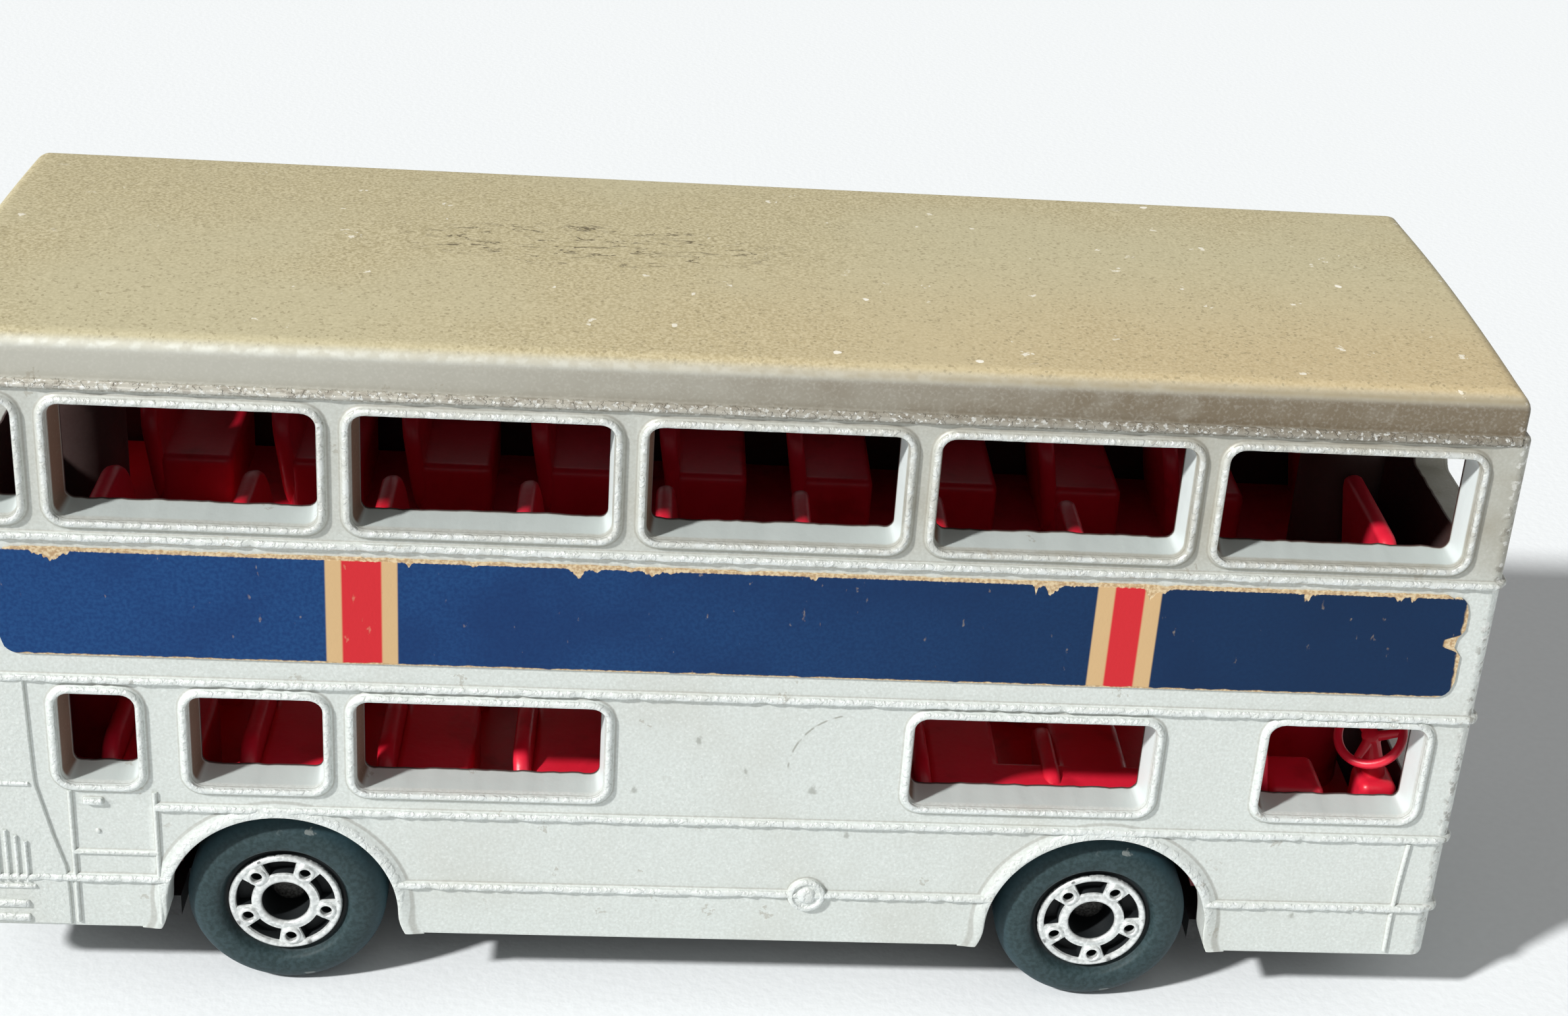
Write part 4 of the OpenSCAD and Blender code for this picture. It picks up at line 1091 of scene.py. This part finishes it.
def worn_gutter(place, shade, line, forward):
    """Gutter line greyed and darker towards the front, bright and dark specks along it, and the mask of the bright
    ones.
    """
    bright = line * place.cloud(0.24, 3).rise(0.56, 0.62)
    dark = line * place.cloud(0.5, 4, 0.6).rise(0.5, 0.6)
    # The gutter line is greyed, and darker towards the front.
    shade = shade.blend(srgb(184, 180, 168), line * 0.7)
    shade = shade.blend(srgb(98, 90, 76), line * forward * 0.6)
    shade = shade.blend(srgb(112, 101, 86), dark * 0.4)
    return shade.blend(srgb(232, 234, 230), bright * 0.75), bright


def worn_corner(place, shade, roof):
    """Specks on the front corners."""
    x, y, z = place.parts()
    corner = x.rise(36.9, 37.4) * abs(y).rise(11.7, 12.2) * (1 - roof)
    shade = shade.blend(srgb(104, 96, 84), corner * place.cloud(0.45, 4).rise(0.54, 0.62) * 0.5)
    return shade.blend(srgb(240, 241, 238), corner * place.cloud(0.3, 3).rise(0.56, 0.62) * 0.5)


print("worn edges ready")

# %% [markdown]
# Play leaves marks: bright specks on the roof and thin scratches across its middle, small grey dents and one
# curved scuff on the driver's side. A mark is everything near its own centre, and a noise added to that
# distance makes its border ragged. A scratch is where a stretched noise passes its middle value.

# %% Marks of play
ROOF_SPECKS = ((4.5, -10.7, 0.16), (6.2, -4.8, 0.12), (11.2, -11.0, 0.14), (22.7, 10.8, 0.18), (30.8, -0.5, 0.14))
SIDE_MARKS = ((-1.0, 15.9, 0.16), (1.4, 14.2, 0.10), (-4.1, 12.9, 0.12), (4.8, 13.1, 0.22), (6.7, 10.5, 0.14),
              (30.3, 6.1, 0.16))
SCUFF, SCUFF_X = (6.83, 14.32, 3.33), (3.4, 6.1)


def roof_specks(place, shade, roof, edge, chips):
    """Bright specks on the roof and its edge."""
    x, y, z = place.parts()
    fine = place.cells(0.5).rise(0.99, 0.994) * chips
    shade = shade.blend(srgb(240, 236, 222), fine * (roof * 0.8).larger(edge))
    ragged = 0.3 * (place.cloud(0.3, 3) - 0.5)
    for px, py, size in ROOF_SPECKS:
        away = ((x - px) ** 2 + (y - py) ** 2) ** 0.5 + ragged
        shade = shade.blend(srgb(244, 240, 228), (1 - away.rise(size, size + 0.05)) * roof)
    return shade


def side_marks(place, shade, roof):
    """Fine dents all round, and dents and a scuff on the driver's side."""
    x, y, z = place.parts()
    fine = (1 - roof) * place.cells(0.6).rise(0.986, 0.992) * place.cloud(0.2, 2).rise(0.52, 0.58)
    shade = shade.blend(srgb(150, 142, 126), fine * 0.4)
    driver_side = 1 - y.rise(-12.4, -12.3)
    ragged = 0.4 * (place.cloud(0.3, 3) - 0.5)
    for px, pz, size in SIDE_MARKS:
        away = ((x - px) ** 2 + ((z - pz) * 0.7) ** 2) ** 0.5 + ragged
        shade = shade.blend(srgb(132, 133, 124), (1 - away.rise(size * 0.3, size + 0.05)) * driver_side * 0.55)
    cx, cz, r = SCUFF
    from_arc = abs(((x - cx) ** 2 + (z - cz) ** 2) ** 0.5 - r)
    arc = (1 - from_arc.rise(0.02, 0.07)) * x.band(*SCUFF_X, 0.1) * z.rise(cz, cz + 0.3)
    broken = place.cloud(0.7, 3).rise(0.42, 0.56)
    return shade.blend(srgb(140, 140, 130), arc * driver_side * broken * 0.7)


def roof_scratches(place, shade, roof, patch):
    """Thin scratches on the middle of the roof, and their mask."""
    x, y, z = place.parts()
    reach = ((x + 7) / 11) ** 2 + ((y - 0.6) / 3.4) ** 2
    lines = place.stretch(0.35, 1.5, 1).cloud(1.3, 5, 1.2)
    scratch = (1 - abs(lines - 0.5).rise(0.005, 0.018)) * roof
    scratch = scratch * (1 - reach.rise(0.4, 1)) * patch.rise(0.41, 0.49)
    return shade.blend(srgb(84, 73, 54), scratch * 0.85), scratch


print(len(ROOF_SPECKS), "roof specks", len(SIDE_MARKS), "side marks")

# %% [markdown]
# Now the layers go over each other, from the silver of the walls to the marks. Inside, the walls are painted
# a dark red-brown, as painted shade with a painted reflection of the red seats. Worn metal is a little more
# metallic, the roof is duller, and a low relief makes the paint uneven, the beads crumbly and the gutter chipped.

# %% Body paint
ROOF_TOP = FASCIA_TOP + ROOF_EDGE


def body_paint():
    """All layers of the casting's paint."""
    material, place, feed = finish("body_paint", {"IOR": 1.45})
    x, y, z = place.parts()
    forward = x.rise(-30, 36)
    grain, patch = place.cloud(0.16, 2), place.cloud(1.1, 4)
    flake, chips = place.cells(0.1).rise(0.82, 1), place.cloud(0.34, 4).rise(0.53, 0.59)
    roof = z.rise(ROOF_TOP - 0.5, ROOF_TOP - 0.1)
    edge = z.rise(FASCIA_TOP + 0.2, FASCIA_TOP + 0.55) * (1 - roof)
    fascia = z.rise(EAVES - 0.1, EAVES + 0.1) * (1 - z.rise(FASCIA_TOP + 0.1, FASCIA_TOP + 0.6))
    shade = wall_silver(place, grain, flake, forward)
    shade = shade.blend(fascia_grey(place, grain, forward), fascia)
    shade = shade.blend(rubbed_edge_and_highlight(place, patch, forward), edge)
    shade = shade.blend(roof_olive(place, grain, forward), roof)

    out = (abs(y) - WIDTH / 2).larger(abs(x) - LENGTH / 2)
    gutter_line = z.band(GUTTER - 0.24, EAVES + 0.1, 0.06) * out.rise(-0.3, -0.02)
    shade, worn = bead_wear_highlight_and_shade(place, shade, out, roof)
    shade, bright = worn_gutter(place, shade, gutter_line, forward)
    shade = worn_corner(place, shade, roof)
    shade = roof_specks(place, shade, roof, edge, chips)
    shade = side_marks(place, shade, roof)
    shade, scratch = roof_scratches(place, shade, roof, patch)
    # Painted shade with a painted red reflection of the seats on the inner walls.
    inside = (1 - abs(y).rise(10.86, 10.98)) * (1 - abs(x).rise(36.16, 36.28)) * z.band(4.6, 34.87, 0.04)
    shade = shade.blend(srgb(56, 26, 24), inside * 0.95)

    metal = 0.2 + 0.15 * worn + 0.3 * bright - 0.12 * roof
    rough = 0.46 - 0.1 * flake + 0.12 * grain + 0.16 * roof
    below = 1 - z.rise(EAVES - 0.5, EAVES - 0.3)
    crumbs = out.rise(0.12, 0.18) * below * place.cloud(0.3, 3).rise(0.42, 0.62)
    relief = place.cloud(2.2, 3) * 0.8 + grain * 0.06 + chips * gutter_line * 0.9 - scratch * 0.1 + crumbs * 0.5
    feed(Base_Color=shade, Metallic=metal, Roughness=rough, Normal=place.bump(relief, 0.09, 0.7))
    return material


paint(casting, body_paint())
print("body paint nodes", len(bpy.data.materials["body_paint"].node_tree.nodes))

# %% [markdown]
# Red plastic fills both decks. Moulded plastic is glossy with a very slight orange-peel skin, and its colour
# deepens in patches where the melt flowed. The wells over the wheels are darkened as painted shade. Base
# and axles come straight from the frame and only get a finish.

# %% Seat plastic, base and axles


def seat_plastic():
    """Glossy red plastic, with painted shade in the wheel wells."""
    material, place, feed = finish("seat_plastic", {"IOR": 1.5})
    flow = place.cloud(7, 3)
    skin = place.cloud(0.35, 3)
    red = colour(place, 206, 24, 46).blend(srgb(224, 36, 62), flow.rise(0.35, 0.65))
    red = red.blend(srgb(160, 12, 28), place.cloud(2.5, 4).rise(0.55, 0.75) * 0.5)
    x, y, z = place.parts()
    # Painted shade in the wells where the wheels turn.
    for axle in AXLES:
        from_axle = ((x - axle) ** 2 + (z - AXLE_Z) ** 2) ** 0.5
        well = (1 - from_axle.rise(WELL_R + 0.1, WELL_R + 0.4)) * abs(y).rise(WELL_Y - 0.3, WELL_Y - 0.1)
        red = red.blend(srgb(46, 14, 16), well * 0.9)
    feed(Base_Color=red, Roughness=0.3 + 0.16 * skin, Normal=place.bump(skin, 0.03, 0.5))
    return material


def base_plastic():
    """Grained black plastic."""
    material, place, feed = finish("base_plastic", {"IOR": 1.46})
    grain = place.cloud(0.25, 3)
    black = colour(place, 34, 35, 36).blend(srgb(50, 51, 52), grain.rise(0.35, 0.7))
    black = black.blend(srgb(74, 73, 70), place.cloud(1.4, 5).rise(0.6, 0.72) * 0.5)
    feed(Base_Color=black, Roughness=0.5 + 0.2 * grain, Normal=place.bump(grain, 0.04, 0.6))
    return material


def axle_steel():
    """Dark wire, drawn along the axle."""
    material, place, feed = finish("axle_steel", {"Metallic": 1.0})
    drawn = place.stretch(4, 0.35, 4).cloud(0.5, 3)
    steel = colour(place, 44, 43, 42).blend(srgb(78, 77, 75), drawn.rise(0.3, 0.7))
    feed(Base_Color=steel, Roughness=0.25 + 0.25 * drawn, Normal=place.bump(drawn, 0.02, 0.5))
    return material


red_plastic, steel = seat_plastic(), axle_steel()
for deck in (lower_deck, upper_deck):
    paint(deck, red_plastic)
for name, material in (("base_plate", base_plastic()), ("front_axle", steel), ("rear_axle", steel)):
    paint(nodes[name], material)
print("deck, base and axle finishes done")

# %% [markdown]
# The wheel's two finishes are split by depth: whatever the foil could touch when it was pressed on is silver,
# and everything deeper is the dark plastic of the tyre. In the ring round the foil, in the slots and in the
# holes the plastic is painted darker still, as painted shade. Foil wears off at edges first, so a noise eats
# into the border of the mask.

# %% Wheel plastic and foil


def wheel_plastic():
    """Dark tyre with foil on the hub, and painted shade round and in the hub."""
    material, place, feed = finish("wheel_plastic", {"IOR": 1.48, "Specular IOR Level": 0.35})
    x, y, z = place.parts()
    radius = (x ** 2 + z ** 2) ** 0.5
    depth = y + TYRE_W / 2
    grain, patch = place.cloud(0.2, 3), place.cloud(0.8, 4)
    tyre = colour(place, 32, 50, 52).blend(srgb(50, 68, 72), grain.rise(0.3, 0.72))
    tyre = tyre.blend(srgb(34, 62, 72), radius.rise(4.2, 5.0) * 0.7)
    dust = place.cells(0.5).rise(0.985, 0.99) * patch.rise(0.5, 0.56)
    tyre = tyre.blend(srgb(128, 134, 132), dust * 0.7)
    # Painted shade: darker in the ring round the foil, in the slots and in the holes.
    tyre = tyre.blend(srgb(22, 26, 28), 1 - radius.rise(2.95, 3.25))
    ragged = 0.05 * (place.cloud(0.25, 3) - 0.5)
    foil = (1 - (depth + ragged).rise(0.38, 0.44)) * radius.rise(1.19, 1.23)
    foil = foil * (1 - (radius + ragged * 2).rise(2.83, 2.87))
    rubbed = patch.rise(0.6, 0.67) * radius.rise(2.3, 2.75)
    foil = foil * (1 - 0.8 * rubbed)
    silver = colour(place, 208, 212, 211).blend(srgb(238, 241, 240), grain.rise(0.35, 0.65))
    shade = tyre.blend(silver, foil)
    feed(Base_Color=shade, Metallic=0.55 * foil, Roughness=0.56 + 0.1 * grain - 0.2 * foil,
         Normal=place.bump(place.cloud(0.6, 3) + 0.4 * grain, 0.05, 0.5))
    return material


tyres = wheel_plastic()
for piece in wheels:
    paint(piece, tyres)
print("wheel finish done")

# %% [markdown]
# The label is printed in deep blue with two upright bars of cream, red and cream, and its blue is made darker
# towards the front. Along its top edge and round the notch at its front end the print is gone and tan paper
# shows. Fine scuffs dull the ink. Bars and wear are masks too, so they stay sharp however near the camera comes.

# %% Label paper
BARS = (((-19.02, -15.63), (-18.26, -16.38)), ((17.85, 20.99), (18.7, 20.17)))


def label_paper():
    """Blue print with two bars, worn to the paper at its edges."""
    material, place, feed = finish("label_paper", {"IOR": 1.45, "Specular IOR Level": 0.22})
    x, y, z = place.parts()
    fibre, patch = place.cloud(0.18, 3), place.cloud(0.9, 4)
    blue = colour(place, 12, 54, 106).blend(srgb(24, 68, 120), fibre.rise(0.3, 0.7))
    blue = blue.blend(srgb(10, 44, 94), place.cloud(6, 3).rise(0.4, 0.7) * 0.6)
    # Darker towards the front.
    shade = blue.blend(srgb(5, 34, 64), x.rise(-30, 36) * 0.85)
    for cream, red in BARS:
        shade = shade.blend(srgb(200, 168, 124), x.band(*cream, 0.05))
        shade = shade.blend(srgb(198, 40, 48), x.band(*red, 0.06))
    chip = place.stretch(1, 1, 0.3).cloud(1.5, 4).rise(0.57, 0.72)
    top = (z + 0.12 * (fibre - 0.5) + 0.7 * chip).rise(LABEL_Z[1] - 0.25, LABEL_Z[1] - 0.19)
    foot = 1 - (z - 0.3 * (patch - 0.5)).rise(LABEL_Z[0] + 0.03, LABEL_Z[0] + 0.09)
    notch = z.band(NOTCH_Z - 0.35, NOTCH_Z + 0.35, 0.2)
    front = (x + 0.3 * (patch - 0.5) + 0.8 * notch).rise(LABEL_X[1] - 0.22, LABEL_X[1] - 0.12)
    scuff = place.stretch(1, 1, 0.5).cloud(0.4, 5).rise(0.7, 0.76) * 0.25
    bare = top.larger(foot).larger(front).larger(scuff)
    tan = colour(place, 176, 146, 108).blend(srgb(216, 196, 160), fibre.rise(0.35, 0.65))
    shade = shade.blend(tan, bare * 0.95)
    feed(Base_Color=shade, Roughness=0.52 + 0.25 * bare + 0.1 * fibre,
         Normal=place.bump(place.cloud(3, 3) + 0.3 * fibre - 0.5 * bare, 0.05, 0.6))
    return material


print_paper = label_paper()
for piece in labels:
    paint(piece, print_paper)
print("label finish done")

# %% [markdown]
# The set is a plain pale floor under soft light. One broad lamp from the rear and the driver's side gives the
# bright sills and the shadows in the window corners. A pale sky fills the rest, at a level that shows each
# colour about as it was written.

# %% Floor and light
FLOOR_HALF, FLOOR_T, FLOOR_TOP = 2600, 4, -0.02
SUN_POWER, SUN_SOFT, SUN_WAY, SKY_POWER = 4.1, math.radians(4), (3, 2, -2.7), 0.32

floor = block("floor", -FLOOR_HALF, FLOOR_HALF, -FLOOR_HALF, FLOOR_HALF, -FLOOR_T, FLOOR_TOP)
floor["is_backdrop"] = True
cloth, spot, feed = finish("floor_cloth", {"Roughness": 0.9})
weave = spot.cloud(0.5, 2)
pale = colour(spot, 232, 236, 239).blend(srgb(239, 243, 246), weave)
feed(Base_Color=pale, Normal=spot.bump(weave, 0.06, 0.4))
paint(floor, cloth)

key = bpy.data.lights.new("key", "SUN")
key.energy, key.angle, key.color = SUN_POWER, SUN_SOFT, (1.0, 0.99, 0.97)
lamp = bpy.data.objects.new("key", key)
lamp.rotation_euler = Vector(SUN_WAY).to_track_quat("-Z", "Y").to_euler()
bpy.context.scene.collection.objects.link(lamp)

sky = bpy.data.worlds.new("sky")
sky.use_nodes = True
glow = sky.node_tree.nodes["Background"]
glow.inputs["Color"].default_value = (1.0, 0.985, 0.96, 1)
glow.inputs["Strength"].default_value = SKY_POWER
bpy.context.scene.world = sky
bpy.context.scene.view_settings.view_transform = "Standard"
print("set ready")

# %% [markdown]
# Last, the dressed toy is measured against the plain frame, as a maker checks a casting against its drawing.
# The two boxes should differ by no more than rims and worn edges can explain.

# %% Measure and finish
visual_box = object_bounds()
for what, box in (("cad box", cad_box), ("visual box", visual_box)):
    print(what, [[round(v / MM, 2) for v in corner] for corner in box])
